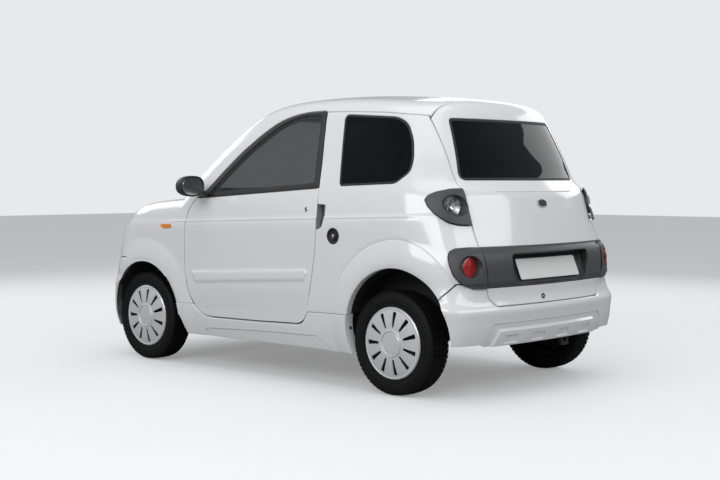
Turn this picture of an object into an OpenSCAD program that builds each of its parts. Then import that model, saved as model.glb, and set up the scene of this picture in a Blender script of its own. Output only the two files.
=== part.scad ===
// Two-seat microcar with three doors: the body is one smooth closed form, and each panel is a
// slab cut from it. X points forward, Y to the car's left, Z up, with the origin on the ground
// under the middle of the body.

/* [Body] */
// Width of the body without its mirrors
width = 1490; // [1240:1:1790]
// Distance between the two axles
wheelbase = 1990; // [1655:1:2390]
// Gap at every shut line
shut_gap = 5; // [3:0.5:8]
// Thickness of a whole side wall or pillar
wall_t = 42; // [30:1:52]
// Thickness of a whole door below its window
door_t = 62; // [50:1:76]
// Thickness of the roof with its lining
roof_t = 26; // [20:1:34]
// Thickness of a single outer skin such as a wing or bumper
skin_t = 6; // [4:0.5:9]
// Thickness of the window glass
glass_t = 4; // [3:0.5:6]

/* [Wheels] */
// Outer diameter of a tyre
tyre_d = 533; // [440:1:560]
// Width of a tyre
tyre_w = 145; // [115:1:165]
// Diameter of the wheel's outer flange and its cover
rim_d = 368; // [300:1:390]
// Radius of the fixed stub that a wheel turns on
stub_r = 16; // [12:0.5:20]
// Clearance between a stub and its bore
running_gap = 0.05; // [0.02:0.01:0.1]
// Room between a tyre and the edge of its arch
arch_gap = 42; // [36:1:60]

/* [Cabin] */
// Width of one seat
seat_w = 460; // [380:1:500]
// Diameter of the steering wheel
steer_d = 370; // [320:1:390]
// Radius of the bore in each towing eye
eye_r = 15; // [12:0.5:20]

/* [Hidden] */

// ---- the design's own frame: x is measured forward from the rear axle, on a 1990 wheelbase
base_wheelbase = 1990;
base_width = 1490;
rear_reach = 500;
front_reach = 495;
door_zone = [500, 1600];
rear_axle_x = -(wheelbase + front_reach - rear_reach) / 2;
front_axle_x = rear_axle_x + wheelbase;
spread = width / base_width;
tyre_r = tyre_d / 2;
wheel_y = width / 2 - 105;
arch_r = tyre_r + arch_gap;

// Where a design x stands on this car: only the zone between the wings stretches
function st(x) = rear_axle_x + (x <= door_zone[0] ? x
    : x >= door_zone[1] ? x + wheelbase - base_wheelbase
    : door_zone[0] + (x - door_zone[0]) * (door_zone[1] - door_zone[0] + wheelbase - base_wheelbase)
      / (door_zone[1] - door_zone[0]));
function place(p) = [st(p[0]), p[1] * spread, p[2]];

// ---- smooth curves through a few knots, and smooth joins
function knot(k, p, i = 0) = (i >= len(k) - 2 || p < k[i + 1][0]) ? i : knot(k, p, i + 1);
function slope(k, i) =
    let (a = k[max(i - 1, 0)], b = k[min(i + 1, len(k) - 1)]) (b[1] - a[1]) / (b[0] - a[0]);
function curve(k, p) =
    p <= k[0][0] ? k[0][1] : p >= k[len(k) - 1][0] ? k[len(k) - 1][1] :
    let (i = knot(k, p), a = k[i], b = k[i + 1], h = b[0] - a[0], t = (p - a[0]) / h)
    a[1] * (1 + 2 * t) * (1 - t) * (1 - t) + slope(k, i) * h * t * (1 - t) * (1 - t)
    + b[1] * t * t * (3 - 2 * t) + slope(k, i + 1) * h * t * t * (t - 1);
function smax(a, b, k) = let (h = max(k - abs(a - b), 0) / k) max(a, b) + h * h * h * k / 6;
function ease(t) = let (u = min(max(t, 0), 1)) u * u * (3 - 2 * u);
function mix(a, b, t) = a + (b - a) * t;

// ---- the body's form, as curves of [height, half width], [x, height] and [height, x]
side_curve = [[150, 688], [200, 704], [300, 724], [420, 737], [560, 744], [700, 745], [830, 741],
              [920, 735], [1000, 721], [1060, 705], [1150, 677], [1250, 645], [1350, 611],
              [1420, 586], [1500, 548], [1600, 480]];
screen_curve = [[-260, 1462], [-120, 1501], [0, 1517], [150, 1533], [350, 1547], [550, 1555], [750, 1555],
                [900, 1547], [1000, 1535], [1100, 1511], [1240, 1445], [1395, 1345], [1540, 1230],
                [1690, 1088], [1790, 975], [1900, 850]];
crown_curve = [[-200, 60], [100, 56], [700, 56], [1000, 62], [1300, 92], [1700, 115]];
hood_curve = [[1300, 1048], [1500, 1030], [1650, 1013], [1800, 1000], [1950, 988], [2100, 973],
              [2235, 952], [2340, 922], [2430, 876], [2500, 800]];
front_curve = [[150, 2412], [200, 2440], [280, 2470], [380, 2483], [460, 2485], [560, 2479], [650, 2463],
               [750, 2430], [830, 2384], [890, 2322], [950, 2215], [1010, 2040]];
rear_curve = [[200, -428], [260, -455], [330, -478], [400, -493], [445, -500], [478, -484], [520, -479],
              [600, -484], [690, -481], [750, -463], [850, -439], [960, -412], [1030, -388],
              [1075, -340], [1110, -320], [1200, -283], [1300, -236], [1400, -186], [1440, -170],
              [1500, -140]];
rear_bow_curve = [[200, 30], [400, 40], [520, 46], [700, 52], [900, 70], [1100, 72], [1400, 62]];
crown_y = 600;
top_corner = 100;
waist_slope = 0.034;

// Height of the crease along the waist
function waist_z(x) = 893 - waist_slope * (x - 400);
function ridge(x, z) = let (s = waist_z(x) - z) 5 * ease((s + 10) / 14) * (1 - ease(s / 190));
function bulge(r, r0, r1, a) = let (t = min(max((r0 - r) / (r0 - r1), 0), 1)) a * t * (2 - t);
function flare(x, z) = bulge(norm([x + 50, z - 345]), 450, 330, 16)
    + bulge(norm([x - 1960, z - 305]), 432, 300, 14);
// The bumpers stand proud of the flanks, and don't tuck in below as the doors do
function skirt(x, z) = ease((abs(x - 975) - 1130) / 160)
    * (14 * ease((500 - z) / 40) + 26 * ease((420 - z) / 240));
function side(x, z) = curve(side_curve, z) - 10 * pow((x - 950) / 1200, 2) + ridge(x, z) + flare(x, z)
    + skirt(x, z);
function screen(x, y) = curve(screen_curve, x) - curve(crown_curve, x) * pow(abs(y) / crown_y, 2.3);
function hood(x, y) = curve(hood_curve, x) - 28 * pow(abs(y) / crown_y, 2);
function front_bow(z) = 190 - 20 * ease((640 - z) / 340);
function front(y, z) = curve(front_curve, z) - front_bow(z) * pow(abs(y) / 745, 2.2);
function rear(y, z) = curve(rear_curve, z) + curve(rear_bow_curve, z) * pow(abs(y) / 520, 2.2);

// How softly the sides turn into the nose and the tail: less so at the bumpers
function front_corner(z) = 250 - 60 * ease((640 - z) / 340);
function rear_corner(z) = 320 - 100 * ease((580 - z) / 100);

// Below zero inside the body, above zero outside
function form(p) = let (x = p[0], y = abs(p[1]), z = p[2])
    smax(smax(smax(y - side(x, z), x - front(y, z), front_corner(z)), rear(y, z) - x, rear_corner(z)),
         z - max(hood(x, y), screen(x, y)), top_corner);

// How far a ray from inside the body runs to its surface: halving, then one straight-line step
function reach(o, d, lo, hi, n = 7) =
    n == 0 ? let (a = form(o + lo * d), b = form(o + hi * d)) lo + (hi - lo) * a / (a - b)
    : let (m = (lo + hi) / 2) form(o + m * d) > 0 ? reach(o, d, lo, m, n - 1) : reach(o, d, m, hi, n - 1);
function hit(ray, r) = ray[0] + r * ray[1];

// ---- a closed slab between the surface and a second one, on a grid of rays
module slab(rays, t, lift = 0) {
    nu = len(rays);
    nv = len(rays[0]);
    function raised(ray, r) = r + (is_function(lift) ? lift(hit(ray, r)[0]) : lift);
    out = [for (row = rays) [for (r = row) raised(r, reach(r[0], r[1], 0, 1500))]];
    function depth(ray, r) = is_function(t) ? t(hit(ray, r)[2]) : t;
    pts = concat([for (i = [0:nu - 1]) for (j = [0:nv - 1]) place(hit(rays[i][j], out[i][j]))],
                 [for (i = [0:nu - 1]) for (j = [0:nv - 1]) let (r = out[i][j])
                      place(hit(rays[i][j], r - depth(rays[i][j], r)))]);
    m = nu * nv;
    function at(i, j) = i * nv + j;
    a = pts[at(0, 0)];
    turned = cross(pts[at(0, 1)] - a, pts[at(1, 1)] - a) * rays[0][0][1] > 0;
    skins = [for (i = [0:nu - 2]) for (j = [0:nv - 2])
                 for (f = [[at(i, j), at(i, j + 1), at(i + 1, j + 1)],
                           [at(i, j), at(i + 1, j + 1), at(i + 1, j)]])
                     for (g = [f, [f[2] + m, f[1] + m, f[0] + m]]) g];
    ends = [for (i = [0:nu - 2]) for (j = [0, nv - 1])
                let (p = at(i, j), q = at(i + 1, j))
                    for (f = [[p, q, q + m], [p, q + m, p + m]]) j == 0 ? f : [f[2], f[1], f[0]]];
    edges = [for (j = [0:nv - 2]) for (i = [0, nu - 1])
                 let (p = at(i, j), q = at(i, j + 1))
                     for (f = [[p, q + m, q], [p, p + m, q + m]]) i == 0 ? f : [f[2], f[1], f[0]]];
    faces = [for (f = concat(skins, ends, edges)) turned ? [f[2], f[1], f[0]] : f];
    polyhedron(pts, faces);
}

// Rays for the flanks: a fan at the rear corner, straight across along the side, a fan at the front
rear_fan_x = 300;
front_fan_x = 1700;
function flank_ray(s, z) =
    s < 0 ? [[rear_fan_x, 0, z], [cos(90 - s), sin(90 - s), 0]]
    : s > front_fan_x - rear_fan_x
    ? let (a = 90 - (s - front_fan_x + rear_fan_x)) [[front_fan_x, 0, z], [cos(a), sin(a), 0]]
    : [[rear_fan_x + s, 0, z], [0, 1, 0]];
function steps(a, b, n) = [for (i = [0:n]) mix(a, b, i / n)];
// The top of the column that a flank ray may start from, under the screen or the bonnet
function column_top(s, z1) = let (x = rear_fan_x + min(max(s, 0), front_fan_x - rear_fan_x))
    min(z1, max(screen(x, 0), hood(x, 0)) - 30);
module flank(ss, z0, z1, nz, t, lift = 0)
    slab([for (s = ss) [for (v = steps(0, 1, nz)) flank_ray(s, mix(z0, column_top(s, z1), v))]], t, lift);

// Rays fanned round the nose or the tail, right across the car
function nose_ray(a, z) = [[front_fan_x, 0, z], [cos(a), sin(a), 0]];
function tail_ray(a, z) = [[rear_fan_x, 0, z], [-cos(a), sin(a), 0]];

// Rays from a line along the car, fanned across it: the roof and the windscreen
function arch_ray(x, a, z0) = [[x, 0, z0], [0, sin(a), cos(a)]];
// Rays from a line across the car, fanned along it: the bonnet and the tailgate
function bow_ray(x0, y, z0, a) = [[x0, y, z0], [sin(a), 0, cos(a)]];

// ---- cutters: an outline of the side view, or of the front view, drawn through the car
module side_cut(y0, y1) rotate([90, 0, 0]) translate([0, 0, -y1]) linear_extrude(y1 - y0) children();
module front_cut(x0, x1)
    translate([st(x0), 0, 0]) rotate([90, 0, 90]) linear_extrude(st(x1) - st(x0)) children();
module shape(pts) polygon([for (p = pts) [st(p[0]), p[1]]]);
module face_shape(pts) polygon([for (p = pts) [p[0] * spread, p[1]]]);
module soft(r) offset(r, $fn = 24) offset(-r) children();
// One mesh from a cut panel, at its own size
module panel() resize([0, 0, 0]) children();

// ---- outlines, in design coordinates
door_outline = [[586, 1456], [760, 1453], [920, 1415], [1055, 1336], [1190, 1238], [1315, 1124], [1425, 1016],
                [1500, 978], [1556, 908], [1579, 830], [1584, 720], [1584, 600], [1570, 470],
                [1526, 375], [1468, 322], [1396, 305], [1000, 310], [660, 320], [622, 338],
                [590, 385], [551, 515], [516, 700], [506, 873], [517, 1043], [535, 1184]];
door_window = [[603, 1438], [752, 1438], [905, 1397], [1036, 1316], [1168, 1219], [1294, 1104],
               [1398, 1001], [540, 1054], [562, 1184]];
quarter_window = [[446, 1436], [70, 1410], [0, 1374], [-52, 1290], [-80, 1190], [-78, 1125],
                  [-8, 1068], [372, 1054]];
seam = [[1200, 1600], [1200, 1455], [586, 1450], [430, 1447], [168, 1434], [-243, 1394], [-700, 1350],
        [-700, 1600]];
sill_outline = [[1800, 366], [1530, 372], [1526, 368], [1468, 315], [1396, 298], [1000, 303],
                [657, 313], [619, 331], [583, 382], [570, 388], [150, 396], [150, 100], [1800, 100]];
front_arch = [1965, 290];
rear_arch = [-40, 312];
rear_arch_more = 27;
arch_tail = [[1700, 330], [1656, 300], [1638, 282], [1618, 230], [1602, 199], [1590, 150], [1700, 150]];
flare_cut = [[-700, 582], [-371, 582], [-348, 551], [-310, 505], [-150, 400], [-150, 0], [-700, 0]];
tailgate_face = [[512, 1418], [500, 1600], [-500, 1600], [-512, 1418], [-517, 1085], [-524, 1043],
                 [-526, 865], [-519, 748], [-502, 561], [-484, 500], [-443, 467],
                 [443, 467], [484, 500], [502, 561], [519, 748], [526, 865], [524, 1043], [517, 1085]];
rear_window_face = [[432, 1402], [-432, 1402], [-500, 1085], [500, 1085]];
garnish_face = [[560, 757], [-560, 757], [-560, 554], [560, 554]];
screen_face = [[497, 1472], [-497, 1472], [-612, 1024], [-520, 1012], [520, 1012], [612, 1024]];
pod_face = [[470, 1037], [590, 1037], [640, 1029], [668, 1013], [682, 990], [682, 956], [669, 911],
            [635, 876], [590, 864], [470, 861]];
low_lamp_face = [[470, 752], [590, 755], [640, 752], [665, 738], [676, 710], [678, 670], [668, 620],
                 [637, 579], [580, 557], [470, 554]];
bumper_line = 617;
bumper_x = 2140;
wing_edge = 560;
lamp_x = 2085;
tailgate_top_x = -85;

module arch_hole(c, more = 0) translate([st(c[0]), c[1]]) circle(arch_r + more, $fn = 56);
module arch_cuts() side_cut(300, 1000) {
    arch_hole(front_arch);
    shape(arch_tail);
    arch_hole(rear_arch, rear_arch_more);
}
module door_hole(grow) side_cut(250, 1000) offset(delta = grow) shape(door_outline);
module both() {
    children();
    mirror([0, 1, 0]) children();
}

// ---- outer panels
module roof() color("white") panel() difference() {
    slab([for (x = concat(steps(tailgate_top_x, 1000, 11), steps(1070, 1700, 9)))
              [for (a = steps(-82, 82, 20)) arch_ray(x, a, mix(1150, 800, ease((x - 900) / 800)))]], roof_t);
    both() {
        door_hole(shut_gap);
        side_cut(250, 1000) shape([[-700, 0], [-700, 1354], [-243, 1398], [168, 1438], [430, 1450],
                                   [586, 1454], [560, 1184], [1500, 994], [1800, 994], [1800, 0]]);
    }
    front_cut(1000, 2300) soft(40) face_shape(screen_face);
    scuttle_zone(2);
    side_cut(-1000, 1000) shape([[1640, 0], [1640, 1300], [2100, 1300], [2100, 0]]);
}
// The scuttle under the windscreen, between its foot and the bonnet
scuttle = [1602, 1830];
scuttle_half = 604;
module scuttle_zone(grow) translate([st(scuttle[0]) - grow, -scuttle_half * spread - grow, 700])
    cube([st(scuttle[1]) - st(scuttle[0]) + grow, 2 * scuttle_half * spread + 2 * grow, 600]);
module cowl() color([0.15, 0.15, 0.16]) panel() difference() {
    intersection() {
        slab([for (x = steps(1590, 1830, 6)) [for (a = steps(-70, 70, 16)) arch_ray(x, a, 780)]], 8);
        scuttle_zone(0);
    }
    front_cut(1000, 2300) offset(delta = 2) soft(40) face_shape(screen_face);
    bonnet_cutter(shut_gap * 2);
}
module windscreen() color([0.1, 0.12, 0.12]) panel() intersection() {
    slab([for (x = steps(1060, 1790, 10)) [for (a = steps(-73, 73, 14)) arch_ray(x, a, 800)]], glass_t, -3);
    front_cut(1000, 2300) offset(-2) soft(40) face_shape(screen_face);
}
module quarter_left() color("white") panel() difference() {
    flank(concat(steps(-66, -6, 10), steps(0, 300, 4)), 380, 1480, 16, wall_t);
    door_hole(shut_gap);
    side_cut(250, 1000) {
        soft(30) shape(quarter_window);
        shape(seam);
        shape(sill_outline);
        shape(flare_cut);
    }
    front_cut(-900, 400) {
        offset(delta = shut_gap) face_shape(tailgate_face);
        offset(delta = 1.5) soft(18) face_shape(pod_face);
        offset(delta = 1.5) soft(18) face_shape(low_lamp_face);
    }
    arch_cuts();
}
module quarter_glass_left() panel() intersection() {
    flank(concat(steps(-36, -6, 4), steps(0, 300, 3)), 1000, 1500, 5, glass_t, -3);
    side_cut(250, 1000) offset(-2) soft(30) shape(quarter_window);
}
module quarter_glass() color([0.05, 0.06, 0.06]) both() quarter_glass_left();
module sill_left() color("white") panel() difference() {
    intersection() {
        flank(concat([-12], steps(0, 1400, 12)), 186, 410, 5, wall_t + 16);
        side_cut(250, 1000) offset(delta = -shut_gap / 2) shape(sill_outline);
    }
    arch_cuts();
}
module wing_left() color("white") panel() difference() {
    flank(concat(steps(1195, 1400, 3), steps(1408, 1462, 7)), 350, 990, 10, skin_t);
    door_hole(shut_gap);
    side_cut(250, 1000) {
        shape([[1200, 100], [1200, 375], [1520, 370], [1800, 364], [1800, 100]]);
        shape([[bumper_x, bumper_line], [2700, bumper_line], [2700, 100], [bumper_x, 100]]);
    }
    front_cut(lamp_x, 2600) square_face(wing_edge, 0, 1200);
    bonnet_cutter(shut_gap / 2);
    headlamp_cutter(4);
    scuttle_zone(4);
    arch_cuts();
}
// Everything that the bonnet covers, seen from above
bonnet_plan = [[1690, 628], [1760, 642], [2000, 640], [2160, 606], [2285, 520], [2330, 400], [2600, 330],
               [2600, -330], [2330, -400], [2285, -520], [2160, -606], [2000, -640], [1760, -642],
               [1690, -628], [1730, -560], [1800, -300], [1815, 0], [1800, 300], [1730, 560]];
bonnet_front_z = 770;
module bonnet_cutter(grow) translate([0, 0, bonnet_front_z - grow]) linear_extrude(600)
    offset(delta = grow) polygon([for (p = bonnet_plan) [st(p[0]), p[1] * spread]]);
module bonnet() color("white") panel() intersection() {
    slab([for (y = steps(-670, 670, 18)) [for (a = steps(-6, 84, 13)) bow_ray(1680, y, 640, a)]], 16);
    bonnet_cutter(-shut_gap / 2);
}
headlamp_face = [[392, 790], [392, 742], [430, 706], [500, 690], [590, 700], [660, 744], [692, 810],
                 [692, 876], [640, 884], [540, 862], [450, 826]];
module headlamp_cutter(grow) front_cut(lamp_x, 2600) both_faces()
    offset(delta = grow) soft(20) face_shape(headlamp_face);
module both_faces() {
    children();
    mirror([1, 0]) children();
}
module front_bumper() color("white") panel() difference() {
    slab([for (a = steps(-84, 84, 20)) [for (z = steps(185, 766, 8)) nose_ray(a, z)]], skin_t);
    both() side_cut((wing_edge - shut_gap) * spread, 1000)
        shape([[1700, bumper_line - shut_gap], [2700, bumper_line - shut_gap], [2700, 1100], [1700, 1100]]);
    side_cut(-1000, 1000)
        shape([[1700, 0], [bumper_x + shut_gap, 0], [bumper_x + shut_gap, 1100], [1700, 1100]]);
    bonnet_cutter(shut_gap / 2);
    headlamp_cutter(4);
    front_cut(2200, 2600) offset(delta = 2) grille_faces();
    front_cut(2200, 2600) translate([eye_y, eye_z]) circle(eye_r + 10, $fn = 48);
    both() arch_cuts();
}
module grille_faces() {
    soft(18) square_face(250, 655, 715);
    soft(30) square_face(330, 262, 420);
    both_faces() translate([520 * spread, 340]) circle(52, $fn = 32);
}
module square_face(half, z0, z1) translate([-half * spread, z0]) square([2 * half * spread, z1 - z0]);
module grille() color([0.12, 0.12, 0.13]) panel() difference() {
    intersection() {
        slab([for (a = steps(-48, 48, 12)) [for (z = steps(240, 740, 4)) nose_ray(a, z)]], 10, -12);
        front_cut(2200, 2600) offset(delta = -1) grille_faces();
    }
    for (z = [298:40:400]) front_cut(2200, 2600) square_face(300, z, z + 13);
}
module rear_bumper() color("white") panel() difference() {
    slab([for (a = steps(-64, 64, 22)) [for (z = steps(262, 600, 7)) tail_ray(a, z)]], skin_t);
    front_cut(-900, 400) offset(delta = shut_gap) face_shape(tailgate_face);
    both() {
        front_cut(-900, 400) offset(delta = 1.5) soft(18) face_shape(low_lamp_face);
        side_cut(250, 1000)
            shape([[-900, 576], [-374, 576], [-351, 545], [-313, 500], [-150, 395], [200, 395], [200, 900],
                   [-900, 900]]);
        arch_cuts();
    }
}

// ---- tailgate, all in the frame of its own fan of rays
module tailgate_slab(t, lift, n)
    slab([for (y = steps(-560, 560, n)) [for (a = concat(steps(-22, -74, 5), steps(-78, -137, 10)))
                                             bow_ray(150, y, 1060, a)]], t, lift);
module tailgate() color("white") panel() difference() {
    intersection() {
        tailgate_slab(36, 0, 12);
        front_cut(-900, 300) face_shape(tailgate_face);
        side_cut(-1000, 1000) shape([[tailgate_top_x - shut_gap, 2000], [tailgate_top_x - shut_gap, 1300],
                                     [0, 1300], [0, 100], [-900, 100], [-900, 2000]]);
    }
    front_cut(-900, 300) soft(25) face_shape(rear_window_face);
    intersection() {
        garnish_slab(garnish_t + 4, garnish_lift);
        front_cut(-900, 300) face_shape(garnish_face);
    }
    pocket(pocket_wall + 2);
}
module tailgate_glass() color([0.05, 0.06, 0.06]) panel() intersection() {
    tailgate_slab(glass_t, -3, 10);
    front_cut(-900, 300) offset(delta = -2) soft(25) face_shape(rear_window_face);
}
// The grey moulding across the tailgate, with a leaning pocket for the number plate
garnish_t = 22;
garnish_lift = 12;
pocket_wall = 5;
pocket_half = 315;
pocket_side = [[-473, 574], [-411, 722]];
plate_size = [520, 110, 4];
module garnish_slab(t, lift)
    slab([for (y = steps(-570, 570, 10)) [for (z = steps(546, 766, 4)) [[0, y, z], [-1, 0, 0]]]], t, lift);
module pocket(wall) translate([0, -(pocket_half + wall) * spread, 0]) rotate([-90, 0, 0]) mirror([0, 1])
    linear_extrude(2 * (pocket_half + wall) * spread) offset(delta = wall)
        shape([[-600, pocket_side[0][1]], pocket_side[0], pocket_side[1], [-600, pocket_side[1][1]]]);
module plate_panel() color([0.3, 0.3, 0.32]) panel() difference() {
    intersection() {
        union() {
            garnish_slab(garnish_t, garnish_lift);
            pocket(pocket_wall);
        }
        garnish_slab(150, garnish_lift);
        front_cut(-900, 300) offset(delta = -0.5) face_shape(garnish_face);
        front_cut(-900, 300) face_shape(tailgate_face);
    }
    pocket(0);
}
module rear_plate() color("white") translate([st(pocket_side[0][0]), -plate_size[0] / 2, pocket_side[0][1]])
    rotate([0, atan2(pocket_side[1][0] - pocket_side[0][0], pocket_side[1][1] - pocket_side[0][1]), 0])
        translate([-1 - plate_size[2], 0, 12]) cube([plate_size[2], plate_size[0], plate_size[1]]);

// ---- doors: an outer skin over an inner frame that is smaller all round, so its edge clears the pillar
door_skin_t = 8;
door_step = 14;
window_line = 960;
door_depth = function (z) mix(door_t, wall_t - 6, ease((z - window_line) / 90));
module door_slab(t, lift = 0) flank(steps(190, 1300, 14), 290, 1480, 14, t, lift);
module door_left() color("white") panel() difference() {
    intersection() {
        door_slab(door_depth);
        side_cut(250, 1000) shape(door_outline);
    }
    difference() {
        door_slab(200, -door_skin_t);
        side_cut(250, 1000) offset(delta = -door_step) shape(door_outline);
    }
    side_cut(250, 1000) soft(22) shape(door_window);
}
module door_glass_left() color([0.1, 0.12, 0.12]) panel() intersection() {
    flank(steps(200, 1140, 9), 985, 1480, 5, glass_t, -10);
    side_cut(250, 1000) offset(-1) soft(22) shape(door_window);
}
// The mirror: a rounded shell on a foot that stands on the corner of the door
mirror_x = 1405;
mirror_z = 1052;
mirror_y = 108;
module mirror_left() color([0.08, 0.08, 0.09]) panel() difference() {
    translate([st(mirror_x), width / 2 + mirror_y, mirror_z]) union() {
        hull() {
            translate([30, -3, 0]) scale([0.55, 0.85, 0.62]) sphere(82, $fn = 16);
            translate([-22, 2, 0]) scale([0.2, 0.95, 0.68]) sphere(86, $fn = 16);
        }
        hull() {
            translate([10, -63, -14]) scale([1, 1, 0.55]) sphere(26, $fn = 14);
            translate([-6, -134, -44]) scale([1.4, 1, 0.9]) sphere(16, $fn = 14);
        }
    }
    door_slab(90);
    side_cut(0, 740 * spread)
        shape([[1310, 1124], [1420, 1016], [1500, 973], [1600, 973], [1600, 1200], [1310, 1200]]);
}

// ---- lamps: housings that stand further out of the body towards the tail
pod_lift = function (x) 3 + 13 * ease((-190 - x) / 110);
low_lift = function (x) 5 + 14 * ease((-335 - x) / 50);
module tail_lamps(outline, z0, z1, lift) color([0.3, 0.3, 0.32]) panel() both() difference() {
    intersection() {
        flank(steps(-57, -30, 9), z0, z1, 6, 48, lift);
        front_cut(-900, 400) soft(18) face_shape(outline);
    }
    front_cut(-900, 400) offset(delta = shut_gap) face_shape(tailgate_face);
}
module upper_tail_lamps() tail_lamps(pod_face, 850, 1050, pod_lift);
module lower_tail_lamps() tail_lamps(low_lamp_face, 546, 764, low_lift);
module headlamps() color([0.85, 0.87, 0.9]) panel() both() difference() {
    intersection() {
        flank(steps(1425, 1482, 12), 650, 900, 7, 60, -1);
        front_cut(lamp_x, 2600) offset(delta = -1) soft(20) face_shape(headlamp_face);
    }
    bonnet_cutter(shut_gap / 2);
}

// ---- floor, wheel houses and machinery
floor_z = 205;
floor_t = 20;
rear_floor_z = 348;
tub_half = 622;
tub_front = 1610;
tub_step = 400;
tub_rear = -370;
module floor_pan() color([0.2, 0.2, 0.22]) difference() {
    union() {
        tub_box(tub_step, tub_front, floor_z, floor_t);
        tub_box(tub_step - floor_t, tub_step, floor_z, rear_floor_z - floor_z + floor_t);
        tub_box(tub_rear, tub_step, rear_floor_z, floor_t);
        tub_box(tub_front, tub_front + floor_t, floor_z, 640);
        for (y = [-350, 300])
            translate([st(tub_front + floor_t), y, floor_z])
                cube([st(eye_x) - st(tub_front + floor_t), 50, rail_z]);
        translate([st(eye_x), -eye_y - 40, floor_z]) cube([eye_t, 2 * eye_y + 80, rail_z]);
        translate([st(tub_rear) - eye_t, rear_eye_y - 35, floor_z])
            cube([eye_t, 70, rear_floor_z + floor_t - floor_z]);
        for (x = jack_x, s = [-1, 1])
            translate([st(x) - 40, s * 540 * spread - 30, floor_z - jack_t]) cube([80, 60, jack_t]);
    }
    for (p = [[st(eye_x) - 10, eye_y], [st(tub_rear) - eye_t - 10, rear_eye_y]])
        translate([p[0], p[1], eye_z]) rotate([0, 90, 0]) cylinder(h = eye_t + 20, r = eye_r, $fn = 48);
    both() translate([st(rear_arch[0]), wheel_y - tyre_w / 2 - 40, rear_arch[1]]) rotate([-90, 0, 0])
        cylinder(h = 400, r = rear_house_r + house_t + 2, $fn = 72);
}
eye_x = 2330;
rail_z = 70;
eye_y = 395;
rear_eye_y = -250;
eye_z = 238;
eye_t = 20;
jack_x = [480, 1480];
jack_t = 12;
module tub_box(x0, x1, z, h) translate([st(x0), -tub_half * spread, z])
    cube([st(x1) - st(x0), 2 * tub_half * spread, h]);
rear_house_r = arch_r + rear_arch_more + 2;
house_t = 5;
// The space inside the walls, from a depth below the outer surface inwards
module inner_space(ss, gap) flank(ss, 240, 700, 4, 420, -gap);
module wheel_houses() color([0.08, 0.08, 0.09]) panel() both() difference() {
    union() {
        intersection() {
            house(st(rear_arch[0]), wheel_y - tyre_w / 2 - 38, rear_house_r, rear_arch[1]);
            inner_space(concat(steps(-54, -10, 5), steps(0, 380, 3)), wall_t + 2);
        }
        intersection() {
            house(st(front_arch[0]), 372, arch_r + 2, front_arch[1]);
            inner_space(concat([1300], steps(1400, 1444, 6)), skin_t + 20);
        }
    }
    side_cut(600, 1000) offset(delta = 3) shape(sill_outline);
    translate([front_axle_x - 32, 300, 0]) cube([64, 90, tyre_r + arm_z + 24]);
    translate([rear_axle_x - 80, 300, 0]) cube([160, 300, tyre_r + 36]);
}
// A half drum over a wheel, closed on its inner side
module house(x, y0, r, z) translate([x, y0, z]) rotate([-90, 0, 0]) difference() {
    cylinder(h = 400, r = r + house_t, $fn = 36);
    translate([0, 0, house_t]) cylinder(h = 600, r = r, $fn = 36);
    translate([-500, 20, -1]) cube([1000, 600, 900]);
}
module engine() color([0.35, 0.36, 0.38])
    translate([st(1760), -280, 285]) cube([st(2280) - st(1760), 560, 380]);

// ---- cabin
module dashboard() color([0.12, 0.12, 0.13]) rotate([90, 0, 0]) translate([0, 0, -600 * spread])
    linear_extrude(1200 * spread)
    shape([[1600, 700], [1600, 985], [1480, 960], [1390, 905], [1360, 850], [1380, 770], [1450, 700]]);
column_tilt = 24;
column_foot = [1362, 800];
column_y = 270;
module at_column()
    translate([st(column_foot[0]), column_y, column_foot[1]]) rotate([0, -90 + column_tilt, 0]) children();
module steering_wheel() color([0.1, 0.1, 0.1]) at_column() {
    translate([0, 0, 96]) rotate_extrude($fn = 72) translate([steer_d / 2 - 14, 0]) circle(14, $fn = 24);
    translate([0, 0, 20]) cylinder(h = 72, r = 30, $fn = 48);
    for (a = [0, 120, 240]) rotate([0, 0, a]) translate([20, -14, 82]) cube([steer_d / 2 - 40, 28, 12]);
}
seat_y = 270;
seat_x = 560;
module seat(y) color([0.15, 0.15, 0.17]) translate([st(seat_x), y + seat_w / 2, 0]) rotate([90, 0, 0])
    linear_extrude(seat_w) offset(20, $fn = 24) offset(-20)
    polygon([[0, 300], [470, 300], [490, 330], [480, 440], [440, 455], [90, 430], [70, 470], [-100, 900],
             [-125, 1080], [-165, 1110], [-205, 1090], [-190, 900], [-160, 700], [-60, 400]]);
module seat_left() { seat(seat_y); }
module seat_right() { seat(-seat_y); }

// ---- running gear
kingpin_y = wheel_y - 12;
kingpin_r = 11;
arm_z = 104;
arm_y = 352;
arm_r = 22;
arm_t = 22;
module front_suspension() color([0.18, 0.18, 0.19]) both() difference() {
    union() {
        for (s = [-1, 1])
            translate([front_axle_x, arm_y, tyre_r + s * arm_z - arm_t / 2]) {
                translate([-arm_r, 0, 0]) cube([2 * arm_r, kingpin_y - arm_y, arm_t]);
                translate([0, kingpin_y - arm_y, 0]) cylinder(h = arm_t, r = arm_r, $fn = 48);
            }
        translate([front_axle_x - arm_r, arm_y, tyre_r - arm_z - arm_t / 2])
            cube([2 * arm_r, 16, 2 * arm_z + arm_t]);
    }
    translate([front_axle_x, kingpin_y, 0]) cylinder(h = 900, r = kingpin_r + running_gap, $fn = 48);
}
module knuckle_left() color([0.3, 0.3, 0.32]) {
    translate([front_axle_x, kingpin_y, tyre_r - arm_z - 14])
        cylinder(h = 2 * arm_z + 28, r = kingpin_r, $fn = 48);
    translate([front_axle_x - 26, kingpin_y - 22, tyre_r - 60]) cube([52, 32, 120]);
    stub(front_axle_x, kingpin_y);
}
hub_reach = 26;
module stub(x, y0)
    translate([x, y0, tyre_r]) rotate([-90, 0, 0])
        cylinder(h = wheel_y + hub_reach - y0, r = stub_r, $fn = 48);
module knuckle_right() mirror([0, 1, 0]) knuckle_left();
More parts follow.
